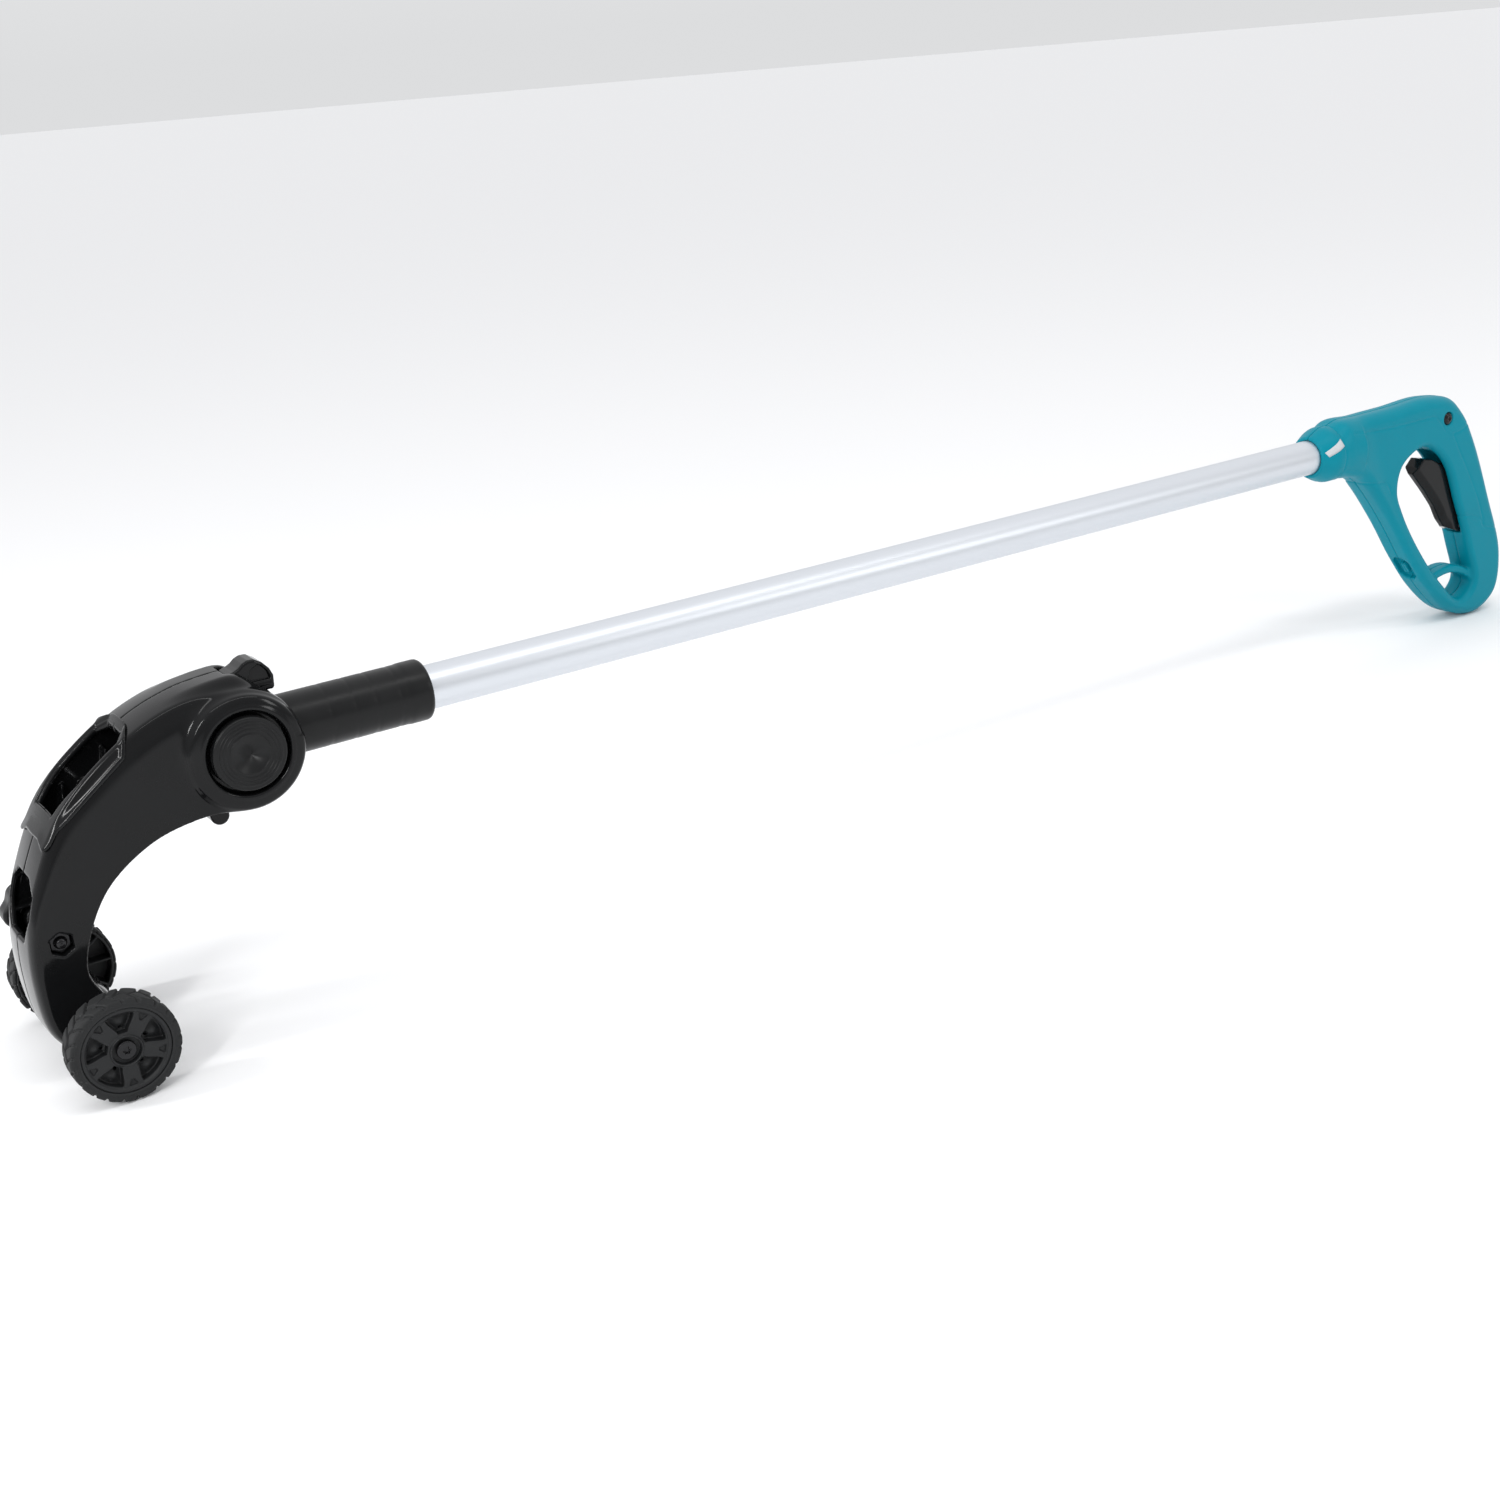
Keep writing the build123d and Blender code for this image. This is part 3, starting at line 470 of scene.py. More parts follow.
PAD = [(-34.0, 22.0), (-26.0, 30.5), (-16.0, 35.2), (-6.0, 37.2), (4.0, 37.2), (9.0, 34.0), (12.0, 27.0),
       (0.0, 12.0)]
pad_line = smooth_line(PAD, closed=True, steps=5)
RIBS = [((-60.0, 6.0), (-64.0, -24.0)), ((-84.0, -8.0), (-92.0, -52.0)), ((-122.0, -50.0), (-94.0, -45.0)),
        ((-126.0, -66.0), (-96.0, -64.0)), ((-50.0, -6.0), (-96.0, -34.0))]


def round_bar(x, z, middle, radius):
    return np.hypot(x - middle[0], z - middle[1]) - radius


def hexagon(x, z, middle, flats):
    turns = np.radians([0.0, 60.0, 120.0])
    return np.max([np.abs((x - middle[0]) * np.cos(turn) + (z - middle[1]) * np.sin(turn)) for turn in turns],
                  axis=0) - flats / 2.0


def bevel_width(x):
    return 2.4 + 7.6 * step_up(x, -122.0, -76.0)


def outer_skin(x, y, z):
    """The head's outside with nothing cut from it, and its outline seen from the side."""
    near = np.abs(y)
    side = from_outline(head_line, x, z)
    by_spine = step_up(from_line(belly_line, x, z) - from_line(spine_line, x, z), -6.0, 6.0)
    crown = by_spine * (1.2 + 2.0 * step_up(x, -110.0, -20.0) * step_up(-x, -5.0, 25.0))
    crowned = side - crown * (1.0 - (near / 25.0) ** 2)
    hull = slab(crowned, -HEAD_HALF, HEAD_HALF, y, 0.6)
    wide = bevel_width(x)
    bevel = ((near - HEAD_HALF) * wide + (side + wide) * 3.6) / np.hypot(wide, 3.6)
    hull = soft_max(hull, bevel - (1.0 - by_spine) * 30.0, 1.6)
    from_pivot = np.hypot(x, z)
    cheek = slab(from_pivot - BOSS_R, -BOSS_FACE, BOSS_FACE, y, 3.6)
    cheek = soft_max(cheek, (near - BOSS_FACE) * 0.94 + (from_pivot - BOSS_SLOPE_R) * 0.34, 0.8)
    return soft_min(hull, cheek, 7.0), side


def head_half(side_sign):
    def form(x, y, z):
        near = np.abs(y)
        from_pivot = np.hypot(x, z)
        skin, side = outer_skin(x, y, z)
        whole = soft_min(skin, slab(from_outline(pad_line, x, z), -PAD_HALF, PAD_HALF, y, 5.0), 7.0)
        housing = np.hypot(x - AXLE[0], z - AXLE[1])
        # hollow, with the posts and ribs left standing in it
        posts = [round_bar(x, z, place, POST_R) for place in HEAD_SCREWS]
        posts += [round_bar(x, z, CLAMP, CLAMP_POST_R) + 20.0 * (near < LUG_HALF), housing - HOUSING_R - WALL,
                  round_bar(x, z, ROCKER, 4.0) + 20.0 * (near < 6.2)]
        standing = np.minimum.reduce(np.broadcast_arrays(*posts))
        walls = np.minimum.reduce([from_line(np.array(rib), x, z) - RIB_HALF for rib in RIBS])
        walls = np.maximum(walls, 9.0 - near)
        standing = soft_min(standing, walls, 1.0)
        hollow = np.maximum(np.maximum(skin, side), near - HEAD_HALF) + WALL
        hollow = np.maximum(hollow, BOSS_R + 2.0 - from_pivot)
        hollow = soft_max(hollow, -standing, 1.0)
        whole = soft_max(whole, -hollow, 0.8)
        swing = np.minimum(from_outline(np.array(SWING), x, z), from_pivot - 18.4) - SWING_ROOM
        whole = soft_max(whole, -np.maximum(swing, near - SWING_HALF), 1.0)
        # the windows in the spine, the lug's slot in the belly and the notch for the lever
        plan = from_outline(np.array(BIG_WINDOW), x, y)
        whole = soft_max(whole, -soft_max(plan, -14.0 - z, 1.0), 1.6)
        front = from_outline(np.array(SMALL_WINDOW), y, z)
        whole = soft_max(whole, -np.maximum(front, x + 112.0), 1.0)
        slot = np.maximum(np.abs(x - CLAMP[0] - 13.0) - 13.0, np.abs(z - CLAMP[1]) - 9.0)
        slot = np.maximum(slot, near - LUG_HALF)
        whole = soft_max(whole, -slot, 0.8)
        tip = np.maximum(np.maximum(np.abs(x + 14.5) - 12.5, np.abs(z + 33.5) - 11.5), near - 7.5)
        whole = soft_max(whole, -tip, 0.8)
        notch = np.maximum(np.maximum(np.abs(x - 18.5) - 17.5, 22.6 - z), near - 8.4)
        whole = soft_max(whole, -notch, 0.8)
        # well of the button with the raised ring round it
        bead = np.hypot(from_pivot - BOSS_BEAD_R, near - BOSS_FACE + 0.9) - BOSS_BEAD
        whole = soft_min(whole, bead, 0.7)
        whole = soft_max(whole, -np.maximum(from_pivot - WELL_R, BOSS_FACE - WELL_DEPTH - near), 0.8)
        whole = soft_max(whole, -np.maximum(from_pivot - GEAR_WELL_R, near - 22.0), 0.8)
        whole = soft_max(whole, AXLE_R + FIT - from_pivot, 0.6)
        whole = soft_max(whole, HOUSING_R + 0.1 - housing, 0.6)
        # screw heads sink into the right half, and the nut into the left one
        if side_sign > 0:
            heads = np.minimum.reduce([round_bar(x, z, place, SCREW_HOLE_R) for place in HEAD_SCREWS])
            whole = soft_max(whole, -np.maximum(heads, HEAD_HALF - 2.8 - near), 0.8)
        else:
            pocket = np.maximum(hexagon(x, z, CLAMP, NUT_FLATS + 1.2), HEAD_HALF - 6.0 - near)
            whole = soft_max(whole, -pocket, 0.7)
        whole = soft_max(whole, -round_bar(x, z, CLAMP, 3.1), 0.6)
        return soft_max(whole, FIT - side_sign * y, 0.5)
    return form


for name, way in (("left", -1.0), ("right", 1.0)):
    low_y, high_y = sorted((0.0, way * 31.5))
    half = moulded(f"head_moulding_{name}", "head", gloss_black,
                   (-128.0, low_y, -139.0), (31.0, high_y, 38.5), 0.75, head_half(way), smooth=1)
    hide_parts(f"head_shell_{name}")


# A separate gloss black cover snaps over the upper window. It stands a millimetre proud of the head,
# follows its bevels, and ends below the window in a lip with cut corners.
COVER_PROUD = 1.0
COVER_UNDER = 1.6
COVER_LIP = 5.0
DIAGONAL = 0.7071
COVER_EDGE = [(-52.0, 60.0), (-52.0, 30.0), (-57.5, 12.0), (-94.0, -15.0), (-106.0, -22.0), (-160.0, -38.0),
              (-160.0, 60.0)]


def cover(x, y, z):
    near = np.abs(y)
    skin, side = outer_skin(x, y, z)
    lip = COVER_LIP * step_up(near, 9.0, 24.0)
    region = from_outline(np.array(COVER_EDGE), x + 0.55 * lip, z + 0.85 * lip * step_up(-x, 98.0, 106.0))
    flank = -bevel_width(x) + 1.2 - side
    proud = COVER_PROUD + 0.8 * np.exp(-((region + 1.6) / 1.3) ** 2)
    proud = proud + 0.5 * np.exp(-((flank + 1.2) / 1.0) ** 2)
    plate = np.maximum(skin - proud, -COVER_UNDER - skin)
    plate = soft_max(plate, region, 0.7)
    plate = soft_max(plate, flank, 0.7)
    window = from_outline(np.array(BIG_WINDOW), x, y)
    plate = soft_max(plate, (skin - COVER_PROUD - window + 2.2) * DIAGONAL, 0.5)
    return soft_max(plate, -window, 0.3)


window = moulded("window_cover_moulding", "head", gloss_black,
                 (-122.0, -27.5, -38.0), (-48.0, 27.5, 33.0), 0.55, cover)
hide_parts("window_cover")


# The clamp bolt runs right through the leg. Its hexagon nut sits deep in a pocket of the left moulding,
# so that the domed end of the blackened bolt stands out of it.
black_screw = finish("black_screw", (0.012, 0.012, 0.013), (0.02, 0.02, 0.022), (0.12, 0.2), 2000.0, 0.000008,
                     metal=0.6, specular=0.5)
BOLT_R = 3.0
NUT_INNER = 20.5
NUT_OUTER = 22.4


def nut(x, y, z):
    near = -y
    away = np.hypot(x - CLAMP[0], z - CLAMP[1])
    flats = np.maximum(hexagon(x, z, CLAMP, NUT_FLATS), away - 5.5)
    return soft_max(slab(flats, NUT_INNER, NUT_OUTER, near, 0.3), BOLT_R + FIT - away, 0.5)


hex_nut = moulded("clamp_hex_nut", "head", black_screw, (-116.0, -24.5, -81.0),
                  (-102.0, -20.0, -67.0), 0.3, nut)
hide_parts("clamp_nut")
bolt_ends = [(-24.9, 1.9), (-24.6, 2.5), (-23.9, 2.9), (-23.0, BOLT_R), (37.4, BOLT_R), (37.8, 2.6),
             (37.8, 0.01), (-25.2, 0.01), (-25.15, 1.0)]
bolt = ringed("clamp_bolt_turned", "clamp_knob", black_screw, bolt_ends, 48, CLAMP, "y")
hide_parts("clamp_bolt")


# The clamp knob on the far side of the leg: six round lobes to grip, a sunk middle and a neck that
# bears on the leg. Moulded in satin black nylon round the head of the bolt.
KNOB_R = 16.0
KNOB_FACE = 41.0
KNOB_LOBES = 6


def knob(x, y, z):
    away, turn = np.hypot(x - CLAMP[0], z - CLAMP[1]), np.arctan2(z - CLAMP[1], x - CLAMP[0])
    rim = away - KNOB_R + 1.9 * (0.5 - 0.5 * np.cos(KNOB_LOBES * turn)) ** 1.4 * step_up(away, 6.0, 13.0)
    grip = slab(rim, HEAD_HALF + 3.0, KNOB_FACE, y, 1.8)
    grip = soft_max(grip, -np.maximum(away - 7.5, KNOB_FACE - 1.6 - y), 1.0)
    neck = slab(away - 8.0, HEAD_HALF + 0.5, HEAD_HALF + 5.0, y, 0.5)
    return soft_max(soft_min(grip, neck, 1.5), -np.maximum(away - BOLT_R - FIT, y - HEAD_HALF - 11.8), 0.4)


clamp_knob = moulded("clamp_knob_moulding", "clamp_knob", satin_black,
                     (-126.0, 26.0, -91.0), (-93.0, 41.5, -57.0), 0.6, knob)
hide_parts("clamp_knob")


# The release lever is a stubby gloss black hook that turns on a pin in the pad of the head. The sides
# of its finger end are sunk like a shield, with two low ridges for the thumb.
LEVER_HALF = 8.0
SHIELD_DEPTH = 2.2
PIN_R = 1.5
LEVER_SIDE = [(1.5, 33.0), (2.5, 36.0), (6.5, 37.0), (9.0, 38.2), (11.5, 40.2), (14.5, 41.4), (18.0, 41.2),
              (22.0, 38.6), (25.4, 34.6), (27.0, 30.6), (26.6, 24.6), (25.6, 23.3), (14.0, 23.4), (8.0, 28.0),
              (3.0, 29.2)]
SHIELD = [(11.8, 30.4), (14.6, 36.4), (18.6, 38.6), (21.2, 38.0), (24.4, 34.0), (25.4, 30.4), (25.2, 28.6),
          (14.0, 28.8)]
THUMB_RIDGES = (((13.0, 27.0), (25.6, 26.8)), ((12.6, 25.2), (25.6, 24.9)))
lever_line = np.array(LEVER_SIDE)
shield_line = np.array(SHIELD)


def lever(x, y, z):
    side = np.minimum(from_outline(lever_line, x, z), np.hypot(x - LEVER[0], z - LEVER[1]) - 3.8)
    whole = slab(side, -LEVER_HALF, LEVER_HALF, y, 1.5)
    depth = LEVER_HALF - SHIELD_DEPTH - np.abs(y)
    sunk = np.maximum(from_outline(shield_line, x, z) + 0.6, depth)
    whole = soft_max(whole, -sunk, 0.6)
    for low in THUMB_RIDGES:
        ridge = np.maximum(from_line(np.array(low), x, z) - 0.45, np.abs(y) - LEVER_HALF - 0.35)
        whole = soft_min(whole, ridge, 0.5)
    return soft_max(whole, PIN_R + FIT - np.hypot(x - LEVER[0], z - LEVER[1]), 0.4)


release = moulded("release_lever_moulding", "release_lever", gloss_black,
                  (1.0, -8.6, 22.8), (28.0, 8.6, 42.0), 0.4, lever)
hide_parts("release_lever")


# The rocker under the pivot, which presses the tool's switch. Two black nylon cheeks take the nipple
# of the pull rod in a fork, and a round tip joins them below the belly.
NIPPLE = (-25.8, ROD_Z)
TIP = (-14.0, -38.0)
TIP_R = 5.0
LEG_R = 4.0
ARM_R = 2.0


def rocker(x, y, z):
    arm = from_line(np.array([NIPPLE, ROCKER]), x, z) - ARM_R - (LEG_R - ARM_R) * step_up(-z, 12.0, 22.0)
    leg = from_line(np.array([ROCKER, TIP]), x, z) - LEG_R
    cheeks = slab(soft_min(arm, leg, 2.0), 2.8, 5.5, np.abs(y), 0.6)
    tip = slab(np.hypot(x - TIP[0], z - TIP[1]) - TIP_R, -6.5, 6.5, y, 1.4)
    whole = soft_min(cheeks, tip, 1.5)
    return soft_max(whole, PIN_R + FIT - np.hypot(x - ROCKER[0], z - ROCKER[1]), 0.4)


switch = moulded("switch_rocker_moulding", "switch_rocker", gloss_black,
                 (-29.5, -7.0, -43.5), (-8.5, 7.0, -3.5), 0.4, rocker)
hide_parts("switch_rocker")


# Round push buttons on both sides of the pivot, turned from the same drawing. Each has a rounded rim,
# a slightly dished face with four fine rings, and is moulded in satin black nylon.
BUTTON_R = 19.8
BUTTON_FACE = 33.6
BUTTON_BACK = 28.6
FINE_RINGS = (10.8, 13.3, 15.3, 17.0)
sunk = BUTTON_FACE - 0.25
face = [(sunk, 0.01)]
for ring in FINE_RINGS:
    face += [(sunk, ring - 0.75), (sunk + 0.25, ring - 0.5), (sunk + 0.42, ring - 0.25), (sunk + 0.25, ring),
             (sunk, ring + 0.3)]
face += [(BUTTON_FACE - 0.2, 18.2), (BUTTON_FACE - 0.1, 18.6), (BUTTON_FACE - 0.3, 19.1),
         (BUTTON_FACE - 0.8, 19.55), (BUTTON_FACE - 1.5, BUTTON_R),
         (BUTTON_BACK + 0.3, BUTTON_R), (BUTTON_BACK, BUTTON_R - 0.3),
         (BUTTON_BACK, 0.01)]
for name, way in (("left", -1.0), ("right", 1.0)):
    button = ringed(f"pivot_button_disc_{name}", f"pivot_button_{name}", satin_black,
                    [(way * along, radius) for along, radius in face][::int(-way)], 128, (0.0, 0.0), "y")
    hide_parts(f"pivot_button_{name}")


# The wheels: a hard rubber tyre with chunky, slightly uneven blocks, on a five-spoked nylon hub. Deep
# pockets with dished floors lie between the spokes, and ten thin webs stiffen the inner side.
# Both wheel finishes carry a painted highlight on their sharp edges.
wheel_nylon = finish("wheel_nylon", (0.008, 0.0087, 0.0094), (0.012, 0.0127, 0.0134), (0.42, 0.55),
                     1500.0, 0.00003, specular=0.3, edge_highlight=0.5)
tyre_rubber = finish("tyre_rubber", (0.01, 0.0106, 0.0112), (0.016, 0.0166, 0.0172), (0.6, 0.75),
                     1200.0, 0.00005, specular=0.28, edge_highlight=0.5)
WHEEL_R = 28.0
RIM_R = 22.6
TRACK_HALF = 58.6
WIDTH = 17.0
DRUM_R = 25.8
AXLE_SCREW_R = 3.0
SPOKES = 5
WEBS = 10
POCKET_R = 19.6
SCREW_RECESS_R = 7.4
BLOCKS = 21
GROOVE_DEPTH = 1.5
spread = np.random.default_rng(7)
block_edges = (np.arange(BLOCKS) + spread.uniform(-0.16, 0.16, (2, BLOCKS))) * math.tau / BLOCKS
block_edges[1] += math.pi / BLOCKS
block_heights = spread.uniform(0.0, 0.6, (2, BLOCKS))


def tyre(x, y, z):
    away, turn = np.hypot(x, z), np.arctan2(z, x) % math.tau
    across = np.broadcast_to(y, np.broadcast(x, y, z).shape)
    away, turn = np.broadcast_to(away, across.shape), np.broadcast_to(turn, across.shape)
    sunk = np.zeros(across.shape)
    for row, (edges, heights) in enumerate(zip(block_edges, block_heights)):
        here = (across > 0.0) if row else (across <= 0.0)
        lean = 0.022 * across * (1 if row else -1)
        between = np.searchsorted(np.sort(edges), (turn + lean) % math.tau) % BLOCKS
        low = heights[between]
        for edge in edges:
            gap = np.abs((turn + lean - edge + math.pi) % math.tau - math.pi) * WHEEL_R
            low = np.maximum(low, GROOVE_DEPTH * (1.0 - step_up(gap, 0.5, 1.2)))
        sunk = np.where(here, low, sunk)
    middle = np.abs(across - 0.9 * np.sin(BLOCKS * turn))
    sunk = np.maximum(sunk, 1.3 * (1.0 - step_up(middle, 0.5, 1.2)))
    shoulder = step_up(away, 25.0, 26.2)
    body = slab(away - WHEEL_R + 0.1, -WIDTH / 2.0, WIDTH / 2.0, across, 1.8)
    body = body + sunk * shoulder
    flank = 0.35 * np.exp(-((away - 24.6) / 0.5) ** 2)
    bore = RIM_R + FIT + (DRUM_R - RIM_R) * (1.0 - step_up(across, 4.2, 4.8))
    return soft_max(body + flank, bore - away, 0.5)


def hub(x, y, z):
    away, turn = np.hypot(x, z), np.arctan2(z, x)
    outer = WIDTH / 2.0 - 0.6
    fifth = math.tau / SPOKES
    swing = (turn - math.pi / 2.0 + fifth / 2.0) % fifth - fifth / 2.0
    rise, aside = away * np.cos(swing), away * np.sin(swing)
    swing = (turn - math.pi / 2.0) % fifth - fifth / 2.0
    spoke_rise, spoke_aside = away * np.cos(swing), away * np.sin(swing)
    disc = slab(away - RIM_R - (DRUM_R - RIM_R) * (1.0 - step_up(y, 4.0, 4.6)), -WIDTH / 2.0, outer, y, 0.7)
    disc = disc + 0.8 * (step_up(away, 7.9, 8.6) - step_up(away, 20.2, 20.8)) * step_up(y, 0.0, 3.0)
    # pockets between the spokes, each with a bulged floor and a small drain hole
    flare = 2.0 + 5.0 * step_up(rise, 8.0, 19.0)
    pocket = np.maximum(np.maximum(np.abs(aside) - flare, 9.4 - rise), away - POCKET_R)
    floor = outer - 5.6 + 2.1 * np.exp(-((rise - 15.0) / 3.4) ** 2 - (aside / 3.6) ** 2)
    disc = soft_max(disc, -soft_max(pocket, floor - y, 0.9), 0.8)
    disc = soft_max(disc, -np.maximum(np.hypot(rise - 11.4, aside) - 0.8, outer - 8.0 - y), 0.4)
    # triangular notches at the spokes' outer ends
    notch = np.maximum(np.maximum(np.abs(spoke_aside) - 0.5 - 0.5 * (spoke_rise - 16.0), 16.4 - spoke_rise),
                       away - POCKET_R)
    disc = soft_max(disc, -np.maximum(notch, outer - 2.2 - y), 0.6)
    # ten webs and the boss on the inner side
    tenth = math.tau / WEBS
    web = np.abs(away * np.sin((turn + tenth / 2.0) % tenth - tenth / 2.0)) - 0.65
    behind = np.maximum(np.maximum(away - DRUM_R + 1.4, 6.8 - away), y - outer + 8.4)
    behind = soft_max(behind, -web, 0.5)
    disc = soft_max(disc, -behind, 0.6)
    # recess for the screw, with a thin wall round it
    disc = soft_max(disc, -np.maximum(away - SCREW_RECESS_R, outer - 2.9 - y), 0.6)
    disc = disc - 0.5 * np.exp(-((away - 7.95) / 0.45) ** 2) * step_up(y, 4.0, 6.0)
    return soft_max(disc, AXLE_SCREW_R + FIT - away, 0.4)


def on_the_axle(form, way, middle):
    """The form of a piece drawn about the axle, moved out to its middle plane on one side."""
    return lambda x, y, z: form(x - AXLE[0], way * y - middle, z - AXLE[1])


for name, way in (("left", -1.0), ("right", 1.0)):
    for kind, form, made, slot, reach in (("tyre", tyre, tyre_rubber, "tyre_rubber", WHEEL_R),
                                          ("wheel_hub", hub, wheel_nylon, "wheel_plastic", DRUM_R)):
        low_y, high_y = sorted((way * (TRACK_HALF - WIDTH / 2.0), way * (TRACK_HALF + WIDTH / 2.0)))
        made_piece = moulded(f"{kind}_moulding_{name}", f"wheel_{name}", made,
                             (AXLE[0] - reach, low_y, AXLE[1] - reach),
                             (AXLE[0] + reach, high_y, AXLE[1] + reach),
                             0.45, on_the_axle(form, way, TRACK_HALF))
        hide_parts(f"{kind}_{name}")


# The D-handle: two teal nylon mouldings that close on the middle plane round the tube. The collar runs
# out of the body in a cone. Fine grooves mark its steps and the grip, an arched hanging bar crosses the
# opening, and a small recess in the rim has a bar across it.
teal_nylon = finish("teal_nylon", (0.0, 0.215, 0.29), (0.0, 0.24, 0.32), (0.36, 0.44), 1400.0, 0.00002,
                    specular=0.12)
HANDLE_HALF = 13.0
COLLAR_START = TUBE_END - 55.0
COLLAR_R = 20.6
COLLAR_MOUTH_R = 13.8
HANDLE_RIM = [(-40.0, 0.0), (-34.0, -14.0), (-22.0, -19.6), (-9.0, -23.5), (3.0, -35.0), (27.0, -65.5),
              (50.0, -99.5), (72.0, -127.0), (99.5, -150.5), (131.0, -158.0), (154.0, -145.0),
              (158.5, -113.0), (141.0, -63.0), (118.5, -11.0), (99.0, 17.6), (70.0, 24.4),
              (30.0, 23.2), (-5.0, 22.6), (-32.0, 21.0)]
OPENING = [(38.0, -22.0), (32.5, -40.0), (40.0, -60.0), (60.5, -92.5), (85.0, -122.0), (110.0, -142.0),
           (125.0, -132.0), (116.0, -99.0), (101.5, -62.0), (86.0, -28.0), (63.0, -12.0)]
HANDLE_SCREWS = [(86.0, 6.0), (17.0, -32.0), (68.0, -110.0), (139.0, -112.0)]
TRIGGER_ROOM = [(59.5, -33.5), (62.0, -28.0), (68.0, -22.5), (77.0, -24.5), (94.0, -33.0), (113.0, -33.0),
                (114.0, -60.0), (118.0, -84.0), (115.0, -88.5), (110.0, -88.0), (96.5, -80.5), (85.0, -63.5),
                (73.0, -49.0)]
TRIGGER_PIN = (113.0, -84.0)
TRIGGER_TURN = 7.5
HANGING_BAR = [(78.0, -121.0), (90.0, -117.6), (105.0, -117.2), (120.0, -122.5), (133.0, -132.0)]
STEP_LINE = [(-24.0, 14.0), (-2.0, 11.2), (24.0, 10.2), (51.0, 10.0), (72.0, 9.4), (79.0, 3.0), (84.0, -3.0),
             (92.0, -6.5), (100.0, -6.0), (116.0, 0.0)]
GRIP_LINE = [(93.0, -8.0), (101.0, -22.0), (112.0, -40.0), (124.0, -62.0), (133.0, -84.0)]
GRIP_END = [(96.0, -72.0), (106.0, -74.5), (118.0, -76.0), (129.0, -80.5), (134.0, -88.0), (150.0, -92.0)]
COLLAR_LINE = [(-36.0, 30.0), (-36.0, 0.0), (-34.5, -14.0), (-27.0, -21.0), (-12.0, -26.5), (6.0, -29.0),
               (17.0, -31.0), (23.0, -40.0)]
RECESS = (56.5, -107.5)
RECESS_WAY = math.radians(-51.0)
RECESS_DEPTH = 4.2
BAR_R = 3.0
BAR_HALF = 8.0
ROUND_HALF = 6.5
handle_line = smooth_line(HANDLE_RIM, closed=True)
opening_line = smooth_line(OPENING, closed=True)
bar_line = smooth_line(HANGING_BAR)
trigger_zones = []
for degree in (0.0, 2.5, 5.0, TRIGGER_TURN):
    turn = math.radians(-degree)
    spin = np.array([[math.cos(turn), math.sin(turn)], [-math.sin(turn), math.cos(turn)]])
    trigger_zones.append((np.array(TRIGGER_ROOM) - TRIGGER_PIN) @ spin + TRIGGER_PIN)


def collar_radius(x):
    """The collar's outside, which opens out from its mouth in a cone."""
    return COLLAR_MOUTH_R + (COLLAR_R - COLLAR_MOUTH_R) * step_up(x, COLLAR_START - 5.0, COLLAR_START + 15.0)


def handle_half(side_sign):
    def form(x, y, z):
        past = x - TUBE_END
        near = np.abs(y)
        rim = from_outline(handle_line, past, z)
        hole = from_outline(opening_line, past, z)
        by_hole = step_up(rim + hole, -6.0, 6.0)
        plan = soft_max(rim, -hole, 1.0)
        swell = 1.0 - step_up(past + 0.4 * z, -34.0, 8.0)
        ease = 5.0 + 2.6 * step_up(past, 70.0, 105.0) * by_hole
        ease = ease + (11.0 - 6.0 * step_up(z, -4.0, 10.0)) * swell + 4.0 * step_up(z, -4.0, 14.0)
        half = HANDLE_HALF + ROUND_HALF * swell
        body = slab(plan, -half, half, y, ease)
        for line, deep in ((STEP_LINE, 0.55), (GRIP_LINE, 0.45), (GRIP_END, 0.55)):
            body = body + deep * np.exp(-(from_line(smooth_line(line, steps=4), past, z) / 0.7) ** 2)
        axis = np.hypot(y, z)
        collar = slab(axis - collar_radius(x), COLLAR_START, TUBE_END - 12.0, x, 1.6)
        whole = soft_min(body, collar, 3.0)
        ring = from_line(smooth_line(COLLAR_LINE, steps=4), past, z)
        whole = whole + 0.6 * np.exp(-(ring / 0.7) ** 2)
        whole = soft_min(whole, slab(from_line(bar_line, past, z) - BAR_R, -BAR_HALF, BAR_HALF, y, 1.8), 3.0)
        whole = soft_max(whole, -np.maximum(axis - TUBE_R - FIT, x - TUBE_END - END_GAP), 0.6)
        room = np.minimum.reduce([from_outline(zone, past, z) for zone in trigger_zones]) - 0.8
        whole = soft_max(whole, -soft_max(room, near - 6.9, 0.8), 1.2)
        # the screw that shows is on the near side, the others on the far side
        for number, place in enumerate(HANDLE_SCREWS):
            if side_sign == (-1 if number == 0 else 1):
                head = np.hypot(past - place[0], z - place[1]) - 5.0
                whole = soft_max(whole, -np.maximum(head, HANDLE_HALF - 2.7 - near), 0.6)
        down = (past - RECESS[0]) * math.cos(RECESS_WAY) + (z - RECESS[1]) * math.sin(RECESS_WAY)
        cut = np.maximum(np.abs(down) - 12.0, near - 7.6)
        cut = np.maximum(cut, (np.abs(down) + near) * DIAGONAL - 11.0)
        whole = soft_max(whole, -np.maximum(cut, -rim - RECESS_DEPTH), 0.5)
        bar = np.maximum(np.maximum(np.abs(down) - 5.0, near - 2.2), np.maximum(rim + 0.7, -rim - 5.0))
        whole = soft_min(whole, bar, 0.6)
        return soft_max(whole, FIT - side_sign * y, 0.5)
    return form


for name, way in (("left", -1.0), ("right", 1.0)):
    low_y, high_y = sorted((0.0, way * 20.8))
    shell = moulded(f"handle_moulding_{name}", "pole", teal_nylon,
                    (COLLAR_START - 1.0, low_y, -159.5), (1032.5, high_y, 26.0), 0.75,
                    handle_half(way), smooth=1)
    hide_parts(f"handle_shell_{name}")


